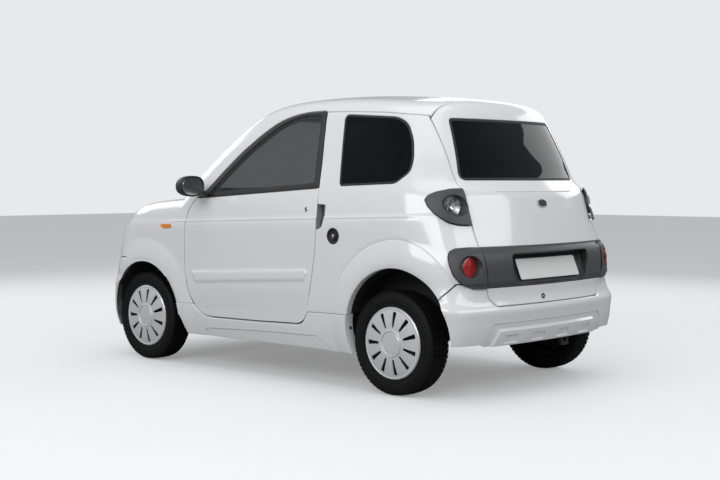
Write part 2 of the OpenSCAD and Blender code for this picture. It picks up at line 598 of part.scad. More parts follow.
module rear_axle() color([0.18, 0.18, 0.19]) {
    translate([rear_axle_x, -540, tyre_r]) rotate([-90, 0, 0]) cylinder(h = 1080, r = 28, $fn = 48);
    both() {
        stub(rear_axle_x, 540);
        translate([rear_axle_x, 430, tyre_r - 22]) cube([st(tub_step) - floor_t - rear_axle_x, 50, 44]);
    }
}
rim_r = rim_d / 2;
bead_r = rim_r - 19;
bead_y = 0.4 * tyre_w;
tyre_wall = tyre_r - rim_r;
// Half of a tyre's section as [radius, distance from its middle]
tyre_half = [[bead_r, bead_y], [rim_r, bead_y + 4], [rim_r + 0.22 * tyre_wall, 0.483 * tyre_w],
             [tyre_r - 0.485 * tyre_wall, tyre_w / 2], [tyre_r - 0.17 * tyre_wall, 0.455 * tyre_w],
             [tyre_r - 3, 0.359 * tyre_w], [tyre_r, 0.207 * tyre_w]];
module tyre(x) color([0.06, 0.06, 0.06]) translate([x, wheel_y, tyre_r]) rotate([90, 0, 0])
    rotate_extrude($fn = 96) polygon(concat([for (p = tyre_half) [p[0], -p[1]]],
                                            [for (i = [len(tyre_half) - 1:-1:0]) tyre_half[i]]));
slots = 11;
slot_in = 0.576 * bead_r;
slot_out = 0.94 * bead_r;
hub_r = 52;
bore_r = stub_r + running_gap;
// A wheel's section: the hub, the dished web, the barrel, and the cover over them
wheel_section = [[bore_r, 5], [hub_r, 5], [hub_r + 6, 20], [bead_r - 6, 30], [bead_r - 8, -bead_y - 4],
                 [rim_r - 8, -bead_y - 10], [rim_r - 6, -bead_y - 4], [bead_r, -bead_y], [bead_r, bead_y],
                 [rim_r, bead_y + 4], [rim_r, bead_y + 8], [rim_r - 20, bead_y + 12], [hub_r + 8, bead_y + 8],
                 [0, bead_y + 4], [0, bead_y - 8], [hub_r, bead_y - 12], [hub_r, 30], [bore_r, 30]];
module wheel(x) color([0.68, 0.69, 0.7]) translate([x, wheel_y, tyre_r]) rotate([-90, 0, 0]) difference() {
    rotate_extrude($fn = 96) polygon(wheel_section);
    for (i = [0:slots - 1])
        rotate([0, 0, i * 360 / slots])
            translate([0, 0, bead_y - 14]) linear_extrude(60)
                polygon([[slot_in, -10], [slot_out, -19], [slot_out, 19], [slot_in, 10]]);
}
module front_left_tyre() { tyre(front_axle_x); }
module rear_left_tyre() { tyre(rear_axle_x); }
module front_left_wheel() { wheel(front_axle_x); }
module rear_left_wheel() { wheel(rear_axle_x); }
module other_side() mirror([0, 1, 0]) children();

roof();
cowl();
quarter_left();
other_side() quarter_left();  // quarter_right
sill_left();
other_side() sill_left();  // sill_right
wing_left();
other_side() wing_left();  // wing_right
bonnet();
front_bumper();
rear_bumper();
tailgate();
tailgate_glass();
plate_panel();
rear_plate();
windscreen();
door_left();
other_side() door_left();  // door_right
door_glass_left();
other_side() door_glass_left();  // door_glass_right
mirror_left();
other_side() mirror_left();  // mirror_right
quarter_glass();
upper_tail_lamps();
lower_tail_lamps();
headlamps();
grille();
floor_pan();
wheel_houses();
engine();
dashboard();
steering_wheel();
seat_left();
seat_right();
front_suspension();
knuckle_left();
knuckle_right();
rear_axle();
front_left_tyre();
other_side() front_left_tyre();  // front_right_tyre
rear_left_tyre();
other_side() rear_left_tyre();  // rear_right_tyre
front_left_wheel();
other_side() front_left_wheel();  // front_right_wheel
rear_left_wheel();
other_side() rear_left_wheel();  // rear_right_wheel
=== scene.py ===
# %% [markdown]
# # A two-seat microcar
#
# The body of a small car is one smooth skin of gloss white plastic, split by narrow shut lines into
# doors, wings, bumpers and a tailgate. This lesson builds the skin once, as a formula, and then cuts
# every panel from it, so that neighbours meet exactly. The machinery that carries and moves the car
# comes from the frame.

# %% The frame that every piece is fitted to
import math

import bpy
import numpy as np
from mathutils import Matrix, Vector
from mathutils.geometry import delaunay_2d_cdt
from mathutils.kdtree import KDTree


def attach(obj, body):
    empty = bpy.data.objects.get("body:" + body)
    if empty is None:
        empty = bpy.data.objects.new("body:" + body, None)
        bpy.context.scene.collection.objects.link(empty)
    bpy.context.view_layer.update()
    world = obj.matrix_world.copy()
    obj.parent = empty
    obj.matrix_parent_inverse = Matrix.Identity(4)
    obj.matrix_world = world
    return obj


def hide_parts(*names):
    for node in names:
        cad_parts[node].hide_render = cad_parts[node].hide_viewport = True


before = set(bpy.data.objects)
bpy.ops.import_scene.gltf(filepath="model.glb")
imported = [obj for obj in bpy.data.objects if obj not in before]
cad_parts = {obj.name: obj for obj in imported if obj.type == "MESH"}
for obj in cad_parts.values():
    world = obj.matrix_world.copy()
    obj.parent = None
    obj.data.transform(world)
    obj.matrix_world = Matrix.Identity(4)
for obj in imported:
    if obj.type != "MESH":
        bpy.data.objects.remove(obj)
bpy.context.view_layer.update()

# %% [markdown]
# ## The skin as a formula
#
# Half widths, heights and lengths of the body are smooth curves through a few knots, in millimetres
# from the rear axle. `form` joins the side, the nose, the tail and the top with soft corners, and is
# negative inside the car and positive outside. A mesh could be sculpted by hand instead, but a formula
# gives clean reflections at any mesh density.

# %% Curves through knots
AXLE_TO_MIDDLE = 992.5


def curve(knots, p):
    """A smooth curve through (place, value) knots, flat past its ends."""
    k = np.asarray(knots, float)
    p = np.asarray(p, float)
    slopes = np.empty(len(k))
    slopes[1:-1] = (k[2:, 1] - k[:-2, 1]) / (k[2:, 0] - k[:-2, 0])
    slopes[0] = (k[1, 1] - k[0, 1]) / (k[1, 0] - k[0, 0])
    slopes[-1] = (k[-1, 1] - k[-2, 1]) / (k[-1, 0] - k[-2, 0])
    i = np.clip(np.searchsorted(k[:, 0], p, side="right") - 1, 0, len(k) - 2)
    h = k[i + 1, 0] - k[i, 0]
    t = np.clip((p - k[i, 0]) / h, 0, 1)
    return (k[i, 1] * (1 + 2 * t) * (1 - t) ** 2 + slopes[i] * h * t * (1 - t) ** 2
            + k[i + 1, 1] * t * t * (3 - 2 * t) + slopes[i + 1] * h * t * t * (t - 1))


def ease(t):
    u = np.clip(t, 0, 1)
    return u * u * (3 - 2 * u)


def soft_max(a, b, k):
    """The larger of two values, blended where they are closer than k."""
    return np.maximum(a, b) + np.maximum(k - np.abs(a - b), 0) ** 3 / (6 * k * k)


print("ease at a quarter:", float(ease(0.25)))

# %% The knots of the body
SIDE = [(150, 688), (200, 704), (300, 724), (420, 737), (560, 744), (700, 745), (830, 741), (920, 735),
        (1000, 721), (1060, 705), (1150, 677), (1250, 645), (1350, 611), (1420, 586), (1500, 548), (1600, 480)]
SCREEN = [(-260, 1462), (-120, 1501), (0, 1517), (150, 1533), (350, 1547), (550, 1555), (750, 1555),
          (900, 1547), (1000, 1535), (1100, 1511), (1240, 1445), (1395, 1345), (1540, 1230), (1690, 1088),
          (1790, 975), (1900, 850)]
CROWN = [(-200, 60), (100, 56), (700, 56), (1000, 62), (1300, 92), (1700, 115)]
HOOD = [(1300, 1048), (1500, 1030), (1650, 1013), (1800, 1000), (1950, 988), (2100, 973), (2235, 952),
        (2340, 922), (2430, 876), (2500, 800)]
NOSE = [(150, 2412), (200, 2440), (280, 2470), (380, 2483), (460, 2485), (560, 2479), (650, 2463), (750, 2430),
        (830, 2384), (890, 2322), (950, 2215), (1010, 2040)]
TAIL = [(200, -428), (260, -455), (330, -478), (400, -493), (445, -500), (478, -484), (520, -479), (600, -484),
        (690, -481), (750, -463), (850, -439), (960, -412), (1030, -388), (1075, -340), (1110, -320),
        (1200, -283), (1300, -236), (1400, -186), (1440, -170), (1500, -140)]
TAIL_BOW = [(200, 30), (400, 40), (520, 46), (700, 52), (900, 70), (1100, 72), (1400, 62)]
print("knots:", sum(len(k) for k in (SIDE, SCREEN, CROWN, HOOD, NOSE, TAIL, TAIL_BOW)))

# %% The crease, the flares and the skirts


REAR_FLARE, FRONT_FLARE = (-50, 345), (1960, 305)


def waist_height(x):
    return 893 - 0.034 * (x - 400)


def waist_ridge(x, z):
    below = waist_height(x) - z
    return 5 * ease((below + 10) / 14) * (1 - ease(below / 190))


def bulge(r, outer, inner, height):
    t = np.clip((outer - r) / (outer - inner), 0, 1)
    return height * t * (2 - t)


def flares(x, z):
    return (bulge(np.hypot(x - REAR_FLARE[0], z - REAR_FLARE[1]), 450, 330, 16)
            + bulge(np.hypot(x - FRONT_FLARE[0], z - FRONT_FLARE[1]), 432, 300, 14))


def skirts(x, z):
    return ease((np.abs(x - 975) - 1130) / 160) * (14 * ease((500 - z) / 40) + 26 * ease((420 - z) / 240))


print("the waist falls", float(waist_height(0) - waist_height(1600)), "mm along the car")

# %% The closed form and its surface


def side(x, z):
    return curve(SIDE, z) - 10 * ((x - 950) / 1200) ** 2 + waist_ridge(x, z) + flares(x, z) + skirts(x, z)


def screen(x, y):
    return curve(SCREEN, x) - curve(CROWN, x) * (np.abs(y) / 600) ** 2.3


def hood(x, y):
    return curve(HOOD, x) - 28 * (np.abs(y) / 600) ** 2


def nose(y, z):
    return curve(NOSE, z) - (190 - 20 * ease((640 - z) / 340)) * (np.abs(y) / 745) ** 2.2


def tail(y, z):
    return curve(TAIL, z) + curve(TAIL_BOW, z) * (np.abs(y) / 520) ** 2.2


def form(p):
    """Signed distance, more or less, from the skin: below zero inside the car."""
    x, y, z = p[:, 0], np.abs(p[:, 1]), p[:, 2]
    flank = soft_max(y - side(x, z), x - nose(y, z), 250 - 60 * ease((640 - z) / 340))
    flank = soft_max(flank, tail(y, z) - x, 320 - 100 * ease((580 - z) / 100))
    return soft_max(flank, z - np.maximum(hood(x, y), screen(x, y)), 100)


def reach(origins, directions, far=1500.0):
    """Where rays from inside the body meet its skin, by halving."""
    near = np.zeros(len(origins))
    end = np.full(len(origins), far)
    for _ in range(22):
        middle = (near + end) / 2
        outside = form(origins + middle[:, None] * directions) > 0
        end = np.where(outside, middle, end)
        near = np.where(outside, near, middle)
    return origins + end[:, None] * directions


def normals(p):
    """Outward directions of the skin, from the slope of the form."""
    e = 0.5
    g = np.stack([form(p + e * a) - form(p - e * a) for a in np.eye(3)], 1)
    return g / np.linalg.norm(g, axis=1)[:, None]


probe = reach(np.array([[900.0, 0, 700]]), np.array([[0, 1.0, 0]]))
print("half width at the door: %.1f mm" % probe[0, 1])

# %% [markdown]
# ## Charts, cuts and sheets
#
# A car designer draws on the side, front and top views and wraps the lines on the surface. Here a chart
# is a fan of rays that covers one part of the body, a cut is an outline drawn in one view, and a sheet
# is the piece of skin that a set of cuts leaves. Triangles follow each cut line exactly, and the edge
# of every sheet rolls over a small radius, which is what catches the light along a shut line.

# %% Charts: fans of rays that cover the body
FAN, ROOF_FAN = 640.0, 500.0
REAR_FAN_X = 300.0
FRONT_FAN_X = 1700.0


def flank_rays(u, v):
    """u runs along the left side, round both corners; v is the height."""
    a = np.where(u < 0, u / FAN, np.where(u > FRONT_FAN_X - REAR_FAN_X, (u - FRONT_FAN_X + REAR_FAN_X) / FAN,
                                          0))
    x = REAR_FAN_X + np.clip(u, 0, FRONT_FAN_X - REAR_FAN_X)
    return (np.stack([x, 0 * u, v], 1), np.stack([np.sin(a), np.cos(a), 0 * u], 1))


def flank_chart(p):
    rear = -np.arctan2(REAR_FAN_X - p[:, 0], p[:, 1]) * FAN
    front = np.arctan2(p[:, 0] - FRONT_FAN_X, p[:, 1]) * FAN + FRONT_FAN_X - REAR_FAN_X
    u = np.where(p[:, 0] < REAR_FAN_X, rear, np.where(p[:, 0] > FRONT_FAN_X, front, p[:, 0] - REAR_FAN_X))
    return np.stack([u, p[:, 2]], 1)


def end_fan(x0, way):
    """Level rays from x0 that cover one end of the body: way is 1 for the nose and -1 for the tail."""
    def rays(u, v):
        a = u / FAN
        return (np.stack([0 * u + x0, 0 * u, v], 1), np.stack([way * np.cos(a), np.sin(a), 0 * u], 1))

    def chart(p):
        return np.stack([np.arctan2(p[:, 1], way * (p[:, 0] - x0)) * FAN, p[:, 2]], 1)
    return rays, chart


def arch_foot(x):
    return 1150 - 350 * ease((x - 900) / 800)


def arch_rays(u, v):
    """u runs along the car and v fans across the roof and the windscreen."""
    a = v / ROOF_FAN
    return (np.stack([u, 0 * u, arch_foot(u)], 1), np.stack([0 * u, np.sin(a), np.cos(a)], 1))


def arch_chart(p):
    return np.stack([p[:, 0], np.arctan2(p[:, 1], p[:, 2] - arch_foot(p[:, 0])) * ROOF_FAN], 1)


def bow(x0, z0, scale):
    """A fan in the side view, repeated across the car: the bonnet and the tailgate."""
    def rays(u, v):
        a = v / scale
        return (np.stack([0 * u + x0, u, 0 * u + z0], 1), np.stack([np.sin(a), 0 * u, np.cos(a)], 1))

    def chart(p):
        return np.stack([p[:, 1], np.arctan2(p[:, 0] - x0, p[:, 2] - z0) * scale], 1)
    return rays, chart


FLANK = (flank_rays, flank_chart)
TAIL_FAN = end_fan(REAR_FAN_X, -1)
NOSE_FAN = end_fan(FRONT_FAN_X, 1)
ARCH = (arch_rays, arch_chart)
BONNET_FAN = bow(1680.0, 640.0, 500.0)
GATE_FAN = bow(150.0, 1060.0, 600.0)
print("six charts cover the body")

# %% Outlines and their offsets


def resample(points, step, closed=True):
    """Even points along a polyline."""
    p = np.asarray(points, float)
    q = np.vstack([p, p[:1]]) if closed else p
    length = np.r_[0, np.cumsum(np.linalg.norm(np.diff(q, axis=0), axis=1))]
    count = max(int(round(length[-1] / step)), 3)
    at = np.linspace(0, length[-1], count + 1)[: count if closed else count + 1]
    return np.stack([np.interp(at, length, q[:, i]) for i in range(q.shape[1])], 1)


def circle(x, y, r, step=6.0):
    a = around(max(int(2 * math.pi * r / step), 16))
    return np.stack([x + r * np.cos(a), y + r * np.sin(a)], 1)


def around(count):
    """Even angles round a circle."""
    return np.linspace(0, 2 * math.pi, count, endpoint=False)


def signed_area(p):
    q = np.roll(p, -1, 0)
    return 0.5 * np.sum(p[:, 0] * q[:, 1] - q[:, 0] * p[:, 1])


def offset(points, distance):
    """The loop moved outwards by a distance, or inwards if it is negative."""
    if distance == 0:
        return points
    tangent = np.roll(points, -1, 0) - np.roll(points, 1, 0)
    tangent /= np.maximum(np.linalg.norm(tangent, axis=1), 1e-9)[:, None]
    outward = np.stack([tangent[:, 1], -tangent[:, 0]], 1) * np.sign(signed_area(points))
    return points + distance * outward


def inside(loop, points):
    """Which points lie inside a closed loop."""
    x, y = points[:, 0], points[:, 1]
    hit = np.zeros(len(points), bool)
    for a, b in zip(loop, np.roll(loop, -1, 0)):
        if a[1] != b[1]:
            crosses = (a[1] > y) != (b[1] > y)
            hit ^= crosses & (x < (b[0] - a[0]) * (y - a[1]) / (b[1] - a[1]) + a[0])
    return hit


print("a circle of 100 mm radius encloses", round(signed_area(circle(0, 0, 100, 1))), "square mm")

# %% Cuts: an outline in one view, wrapped on the body
# Each view has the two coordinates that it shows, a point inside the body, and the way it looks out.
VIEWS = {"side": ((0, 2), (0, 0, 0), (0, 1, 0)), "top": ((0, 1), (0, 0, 700), (0, 0, 1)),
         "tail": ((1, 2), (300, 0, 0), (-1, 0, 0)), "nose": ((1, 2), (1700, 0, 0), (1, 0, 0)),
         "screen": ((1, 2), (1000, 0, 0), (1, 0, 0))}


def wrapped(view, line):
    """A line of one view laid on the body, and which of its points start inside the body."""
    (i, j), start, way = VIEWS[view]
    o = np.tile(np.array(start, float), (len(line), 1))
    o[:, i], o[:, j] = line[:, 0], line[:, 1]
    return reach(o, np.tile(np.array(way, float), (len(line), 1))), form(o) < -1


class Cut:
    """Keeps what is inside (or outside) an outline of one view; a ring of points rolls the edge."""

    def __init__(self, view, loop, keep_inside, both=False, rings=(0.9, 2.2, 3.6)):
        self.view, self.loop, self.keep_inside, self.both = view, np.asarray(loop, float), keep_inside, both
        sign = -1 if keep_inside else 1
        self.lines = [self.loop] + [offset(self.loop, sign * r) for r in rings]

    def keeps(self, p):
        within = inside(self.loop, p[:, VIEWS[self.view][0]])
        reaches = {"side": np.abs(p[:, 1]) > 250, "top": p[:, 2] > 700, "tail": p[:, 0] < 400,
                   "nose": p[:, 0] > 1700, "screen": p[:, 0] > 1000}[self.view]
        return (within & reaches) if self.keep_inside else ~(within & reaches)


print("views:", ", ".join(VIEWS))

# %% Triangles that follow every line


def triangles(points, chains, window, step):
    """Constrained Delaunay triangles over a window of a chart, with lines that they must follow."""
    u = np.arange(window[0] + 0.37 * step, window[1], step)
    v = np.arange(window[2] + 0.41 * step, window[3], step)
    grid = np.stack(np.meshgrid(u, v, indexing="ij"), -1).reshape(-1, 2)
    grid[:, 1] += np.tile(np.arange(len(u))[:, None] % 2 * step / 2, (1, len(v))).ravel()
    tree = KDTree(len(points))
    for i, p in enumerate(points):
        tree.insert((p[0], p[1], 0), i)
    tree.balance()
    clear = np.array([tree.find((p[0], p[1], 0))[2] for p in grid]) > 0.55 * step
    every = np.vstack([points, grid[clear]])
    edges = [(int(a), int(b)) for a, b in chains]
    out = delaunay_2d_cdt([Vector(p) for p in every], edges, [], 0, 0.01)
    return np.array([tuple(p) for p in out[0]]), np.array([f for f in out[2]], int)


def twice_area(uv, faces):
    a, b, c = (uv[faces[:, k]] for k in range(3))
    return (b[:, 0] - a[:, 0]) * (c[:, 1] - a[:, 1]) - (c[:, 0] - a[:, 0]) * (b[:, 1] - a[:, 1])


def compact(points, faces):
    """Only the points that the triangles use."""
    used = np.unique(faces)
    again = np.full(len(points), -1)
    again[used] = np.arange(len(used))
    return points[used], again[faces]


def closed_up(outer, inner, faces, rim):
    """Two skins with the same triangles, closed by walls along their rim."""
    m = len(outer)
    walls = np.vstack([np.stack([rim[:, 0], rim[:, 0] + m, rim[:, 1] + m], 1),
                       np.stack([rim[:, 0], rim[:, 1] + m, rim[:, 1]], 1)])
    return np.vstack([outer, inner]), np.vstack([faces, faces[:, ::-1] + m, walls])


def borders(faces):
    """The edges that only one triangle has, in that triangle's direction."""
    e = np.vstack([faces[:, (0, 1)], faces[:, (1, 2)], faces[:, (2, 0)]])
    key = np.sort(e, 1)
    _, first, count = np.unique(key[:, 0].astype(np.int64) * (1 << 32) + key[:, 1], return_index=True,
                                return_counts=True)
    return e[first[count == 1]]


def border_distance(p, rim, limit):
    """How far each point is from the rim, up to a limit."""
    tree = KDTree(len(rim))
    spokes = {}
    for i, (a, b) in enumerate(rim):
        tree.insert((p[a] + p[b]) / 2, i)
        spokes.setdefault(a, []).append(i)
        spokes.setdefault(b, []).append(i)
    tree.balance()
    out = np.full(len(p), limit * 1.0)
    for k in range(len(p)):
        if k in spokes:
            out[k] = 0
            continue
        for _, i, _ in tree.find_n(p[k], 3):
            a, b = p[rim[i][0]], p[rim[i][1]]
            along = np.clip((p[k] - a) @ (b - a) / max((b - a) @ (b - a), 1e-9), 0, 1)
            out[k] = min(out[k], np.linalg.norm(p[k] - a - along * (b - a)))
    return out


def rolled(distance, radius):
    """How far a rolled edge drops below the surface, near the rim."""
    r = np.clip(radius - distance, 0, radius)
    return radius - np.sqrt(radius * radius - r * r)


print("a 3 mm roll drops %.2f mm at its rim" % rolled(np.array([0.0]), 3.0)[0])

# %% A sheet: skin, rolled edges, an inner side and closed walls


def sheet(surface, cuts, window, thickness, lift=0.0, relief=None, lines=(), step=15.0, roll=3.0):
    """A closed panel between the skin and a second one under it. Returns points and triangles."""
    rays, chart = surface
    points, chains = [], []
    count = 0
    for view, line, both, closed in [(c.view, line, c.both, True) for c in cuts
                                     for line in c.lines] + list(lines):
        p, ok = wrapped(view, line)
        for s in ((1, -1) if both else (1,)):
            uv = chart(p * (1, s, 1))
            good = (ok & (uv[:, 0] > window[0]) & (uv[:, 0] < window[1])
                    & (uv[:, 1] > window[2]) & (uv[:, 1] < window[3]))
            index = np.cumsum(good) - 1 + count
            pairs = np.stack([np.arange(len(uv)), np.roll(np.arange(len(uv)), -1)], 1)
            if not closed:
                pairs = pairs[:-1]
            both_ok = good[pairs[:, 0]] & good[pairs[:, 1]]
            chains.append(index[pairs[both_ok]])
            points.append(uv[good])
            count += int(good.sum())
    uv, faces = triangles(np.vstack(points), np.vstack(chains), window, step)
    o, d = rays(uv[:, 0], uv[:, 1])
    valid = form(o) < 0
    p = reach(o, d)
    keep = valid[faces].all(1) & (np.abs(twice_area(uv, faces)) > 1e-4)
    middle = p[faces].mean(1)
    for cut in cuts:
        keep &= cut.keeps(middle)
    p, faces = compact(p, faces[keep])
    n = normals(p)
    t = np.cross(p[faces[:, 1]] - p[faces[:, 0]], p[faces[:, 2]] - p[faces[:, 0]])
    turned = np.einsum("ij,ij->i", t, n[faces[:, 0]]) < 0
    faces[turned] = faces[turned][:, ::-1]
    rim = borders(faces)
    drop = rolled(border_distance(p, rim, roll + 1), roll) if roll else 0
    raised = lift(p) if callable(lift) else lift
    extra = relief(p) if relief else 0
    outer = p + n * np.reshape(raised + extra - drop, (-1, 1))
    deep = thickness(p) if callable(thickness) else thickness
    inner = p + n * np.reshape(raised - deep, (-1, 1))
    return closed_up(outer, inner, faces, rim)


def mirrored(piece):
    p, f = piece
    return p * (1, -1, 1), f[:, ::-1]


HANDS = (("left", 1, lambda shape: shape), ("right", -1, mirrored))


def joined(*pieces):
    points, faces, count = [], [], 0
    for p, f in pieces:
        points.append(p)
        faces.append(np.asarray(f) + count)
        count += len(p)
    return np.vstack(points), np.vstack(faces)


def pair(shape):
    """A shape and its mirror image as one."""
    return joined(shape, mirrored(shape))


print("sheet, mirrored, joined and pair are ready")

# %% From a shape to a finished object
total_triangles = 0


def new_mesh(name, metres, faces):
    mesh = bpy.data.meshes.new(name)
    mesh.from_pydata(metres.tolist(), [], [tuple(int(i) for i in f) for f in faces])
    return mesh


def new_object(name, data):
    thing = bpy.data.objects.new(name, data)
    bpy.context.scene.collection.objects.link(thing)
    return thing


def fitted_out(name, mesh, body, sharp):
    """Shades a mesh and puts it in the scene, on its body."""
    global total_triangles
    mesh.shade_smooth()
    mesh.set_sharp_from_angle(angle=math.radians(sharp))
    thing = new_object(name, mesh)
    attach(thing, body)
    total_triangles += sum(len(q.vertices) - 2 for q in mesh.polygons)
    return thing


def piece(name, shape, material, body, slot, *nodes, sharp=38.0):
    """A finished object: its mesh, finish, body and the nodes that it stands for. The slot is not used."""
    points, faces = shape
    mesh = new_mesh(name, (points - (AXLE_TO_MIDDLE, 0, 0)) / 1000, faces)
    mesh.validate(verbose=False)
    mesh.update()
    mesh.materials.append(material)
    thing = fitted_out(name, mesh, body, sharp)
    if nodes:
        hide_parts(*nodes)
    return thing


# %% [markdown]
# ## Finishes
#
# Every surface of a real car has a little life in it: paint has faint orange peel and road dust, moulded
# plastic is grained, rubber is powdery. The two effects that several finishes share, the film of dust
# that thickens towards the road and the moulded grain, are built once as shader node groups, and each
# material sets its own amounts. Flat colours would be simpler, but then nothing shows where the light
# rakes along a surface.

# %% A helper that wires nodes


def socket(group, name, side, kind, value=None):
    s = group.interface.new_socket(name=name, in_out=side, socket_type=kind)
    if value is not None:
        s.default_value = value
    return s


def put(tree, kind, inputs=None, **settings):
    """Adds a node, sets its options, and connects or sets its inputs."""
    node = tree.nodes.new(kind)
    for key, value in settings.items():
        setattr(node, key, value)
    for key, value in (inputs or {}).items():
        if isinstance(value, bpy.types.NodeSocket):
            tree.links.new(value, node.inputs[key])
        else:
            node.inputs[key].default_value = value
    return node


def maths(tree, operation, *values, clamp=False):
    return put(tree, "ShaderNodeMath", dict(enumerate(values)), operation=operation, use_clamp=clamp).outputs[0]


def start_group(name, **inputs):
    """A shader group, its inputs by name, and the place that its textures are drawn at."""
    group = bpy.data.node_groups.new(name, "ShaderNodeTree")
    for key, value in inputs.items():
        kind = "NodeSocketColor" if isinstance(value, tuple) else "NodeSocketFloat"
        socket(group, key.replace("_", " "), "INPUT", kind, value)
    return group, put(group, "NodeGroupInput").outputs, put(group, "ShaderNodeTexCoord").outputs["Object"]


def end_group(group, colour, roughness, height):
    """Gives a group the three outputs that every finish uses."""
    for key, kind in (("Colour", "NodeSocketColor"), ("Roughness", "NodeSocketFloat"),
                      ("Height", "NodeSocketFloat")):
        socket(group, key, "OUTPUT", kind)
    put(group, "NodeGroupOutput", {"Colour": colour, "Roughness": roughness, "Height": height})
    print(group.name + ":", len(group.nodes), "nodes")


def mix_colours(tree, amount, first, second):
    mixer = put(tree, "ShaderNodeMix", {"Factor": amount}, data_type="RGBA")
    tree.links.new(first, mixer.inputs[6])
    tree.links.new(second, mixer.inputs[7])
    return mixer.outputs[2]


print("node helpers ready")

# %% The road film group: dust that thickens towards the ground
film, given, where = start_group("road film", Clean=(0.8, 0.8, 0.8, 1), Dust=(0.35, 0.32, 0.28, 1), Amount=0.3,
                                 Reach=0.5, Gloss_Roughness=0.1)
height = put(film, "ShaderNodeSeparateXYZ", {0: where}).outputs["Z"]
patches = put(film, "ShaderNodeTexNoise", {"Vector": where, "Scale": 5.0, "Detail": 5.0, "Roughness": 0.6})
specks = put(film, "ShaderNodeTexNoise", {"Vector": where, "Scale": 160.0, "Detail": 2.0, "Roughness": 0.5})
low = maths(film, "DIVIDE", height, given["Reach"])
low = maths(film, "SUBTRACT", 1.0, low, clamp=True)
low = maths(film, "POWER", low, 1.7)
rough_patch = put(film, "ShaderNodeMapRange", {"Value": patches.outputs["Fac"], "From Min": 0.35,
                                               "From Max": 0.7, "To Min": 0.35, "To Max": 1.0}).outputs[0]
mask = maths(film, "MULTIPLY", maths(film, "MULTIPLY", low, rough_patch), given["Amount"], clamp=True)
rough = maths(film, "MULTIPLY_ADD", mask, 0.75, given["Gloss Roughness"], clamp=True)
end_group(film, mix_colours(film, mask, given["Clean"], given["Dust"]), rough, specks.outputs["Fac"])

# %% The moulded grain group: a leather-like skin of small cells
grain, given, where = start_group("moulded grain", Base=(0.05, 0.05, 0.05, 1), Scale=900.0, Variation=0.15,
                                  Matt=0.6)
cells = put(grain, "ShaderNodeTexVoronoi", {"Vector": where, "Scale": given["Scale"]}, feature="SMOOTH_F1")
cloud = put(grain, "ShaderNodeTexNoise", {"Vector": where, "Scale": 14.0, "Detail": 6.0, "Roughness": 0.62})
shade = maths(grain, "SUBTRACT", cloud.outputs["Fac"], 0.5)
shade = maths(grain, "MULTIPLY_ADD", shade, given["Variation"], 1.0)
tint = put(grain, "ShaderNodeHueSaturation", {"Value": shade, "Color": given["Base"]}).outputs[0]
rough = maths(grain, "MULTIPLY_ADD", cloud.outputs["Fac"], 0.16, given["Matt"], clamp=True)
end_group(grain, tint, rough, cells.outputs["Distance"])

# %% Painted, moulded and lamp finishes from the two groups


def finish(name, group, values, bump=0.05, bump_distance=0.0004, **shader):
    """A Principled material whose colour, roughness and bump come from a group."""
    m = bpy.data.materials.new(name)
    m.use_nodes = True
    t = m.node_tree
    bsdf = t.nodes["Principled BSDF"]
    g = put(t, "ShaderNodeGroup")
    g.node_tree = group
    for key, value in values.items():
        g.inputs[key].default_value = value
    t.links.new(g.outputs["Colour"], bsdf.inputs["Base Color"])
    t.links.new(g.outputs["Roughness"], bsdf.inputs["Roughness"])
    b = put(t, "ShaderNodeBump", {"Strength": bump, "Distance": bump_distance, "Height": g.outputs["Height"]})
    t.links.new(b.outputs["Normal"], bsdf.inputs["Normal"])
    for key, value in shader.items():
        bsdf.inputs[key.replace("_", " ")].default_value = value
    return m


def rgb(r, g, b):
    return (r, g, b, 1.0)


def filmed(name, clean, dust, amount, reach, roughness, *bump, **shader):
    """A finish from the road film group."""
    return finish(name, film, {"Clean": rgb(*clean), "Dust": rgb(*dust), "Amount": amount, "Reach": reach,
                               "Gloss Roughness": roughness}, *bump, **shader)


def moulded(name, base, scale, variation, matt, *bump, **shader):
    """A finish from the moulded grain group."""
    return finish(name, grain, {"Base": rgb(*base), "Scale": scale, "Variation": variation, "Matt": matt},
                  *bump, **shader)


paint = filmed("gloss white paint", (0.80, 0.81, 0.815), (0.42, 0.40, 0.37), 0.35, 0.42, 0.16, 0.03, 0.0003,
               Coat_Weight=0.6, Coat_Roughness=0.05)
inner_paint = filmed("thin inner paint", (0.62, 0.63, 0.64), (0.3, 0.29, 0.27), 0.5, 0.9, 0.4, 0.1)
# Grey moulded plastic is the real finish of the lamp housings and headlamp bowls. On the handle recesses its
# dark grey is painted shade.
grey_plastic_and_recess_shade = moulded("grey moulded plastic and painted recess shade", (0.056, 0.058, 0.061), 700.0, 0.25, 0.38, 0.18)
black_plastic = moulded("black moulded plastic", (0.02, 0.02, 0.021), 800.0, 0.3, 0.42, 0.2)
liner_plastic = filmed("wheel house liner", (0.012, 0.012, 0.012), (0.05, 0.045, 0.04), 0.9, 0.7, 0.7, 0.5,
                       0.002)
seal_rubber = moulded("window seal rubber", (0.012, 0.012, 0.012), 300.0, 0.2, 0.5, 0.1)
tyre_rubber = filmed("tyre rubber", (0.004, 0.004, 0.0042), (0.018, 0.017, 0.016), 0.4, 0.3, 0.6, 0.25, 0.0006,
                     Specular_IOR_Level=0.2)
cover_paint = filmed("silver grey wheel paint", (0.76, 0.77, 0.78), (0.16, 0.13, 0.11), 0.35, 0.5, 0.3, 0.08,
                     0.0003, Metallic=0.35, Coat_Weight=0.2)
steel = filmed("waxed black steel", (0.03, 0.03, 0.031), (0.13, 0.11, 0.095), 0.8, 0.6, 0.45, 0.4, 0.001,
               Metallic=0.6)
bright_metal = filmed("bright plated metal", (0.75, 0.75, 0.74), (0.3, 0.27, 0.25), 0.2, 1.2, 0.16, 0.05,
                      Metallic=1.0)
cast_metal = moulded("cast engine metal", (0.25, 0.26, 0.27), 260.0, 0.5, 0.45, 0.5, 0.001, Metallic=0.8)
cabin_plastic = moulded("cabin plastic", (0.035, 0.036, 0.038), 650.0, 0.3, 0.5, 0.25)
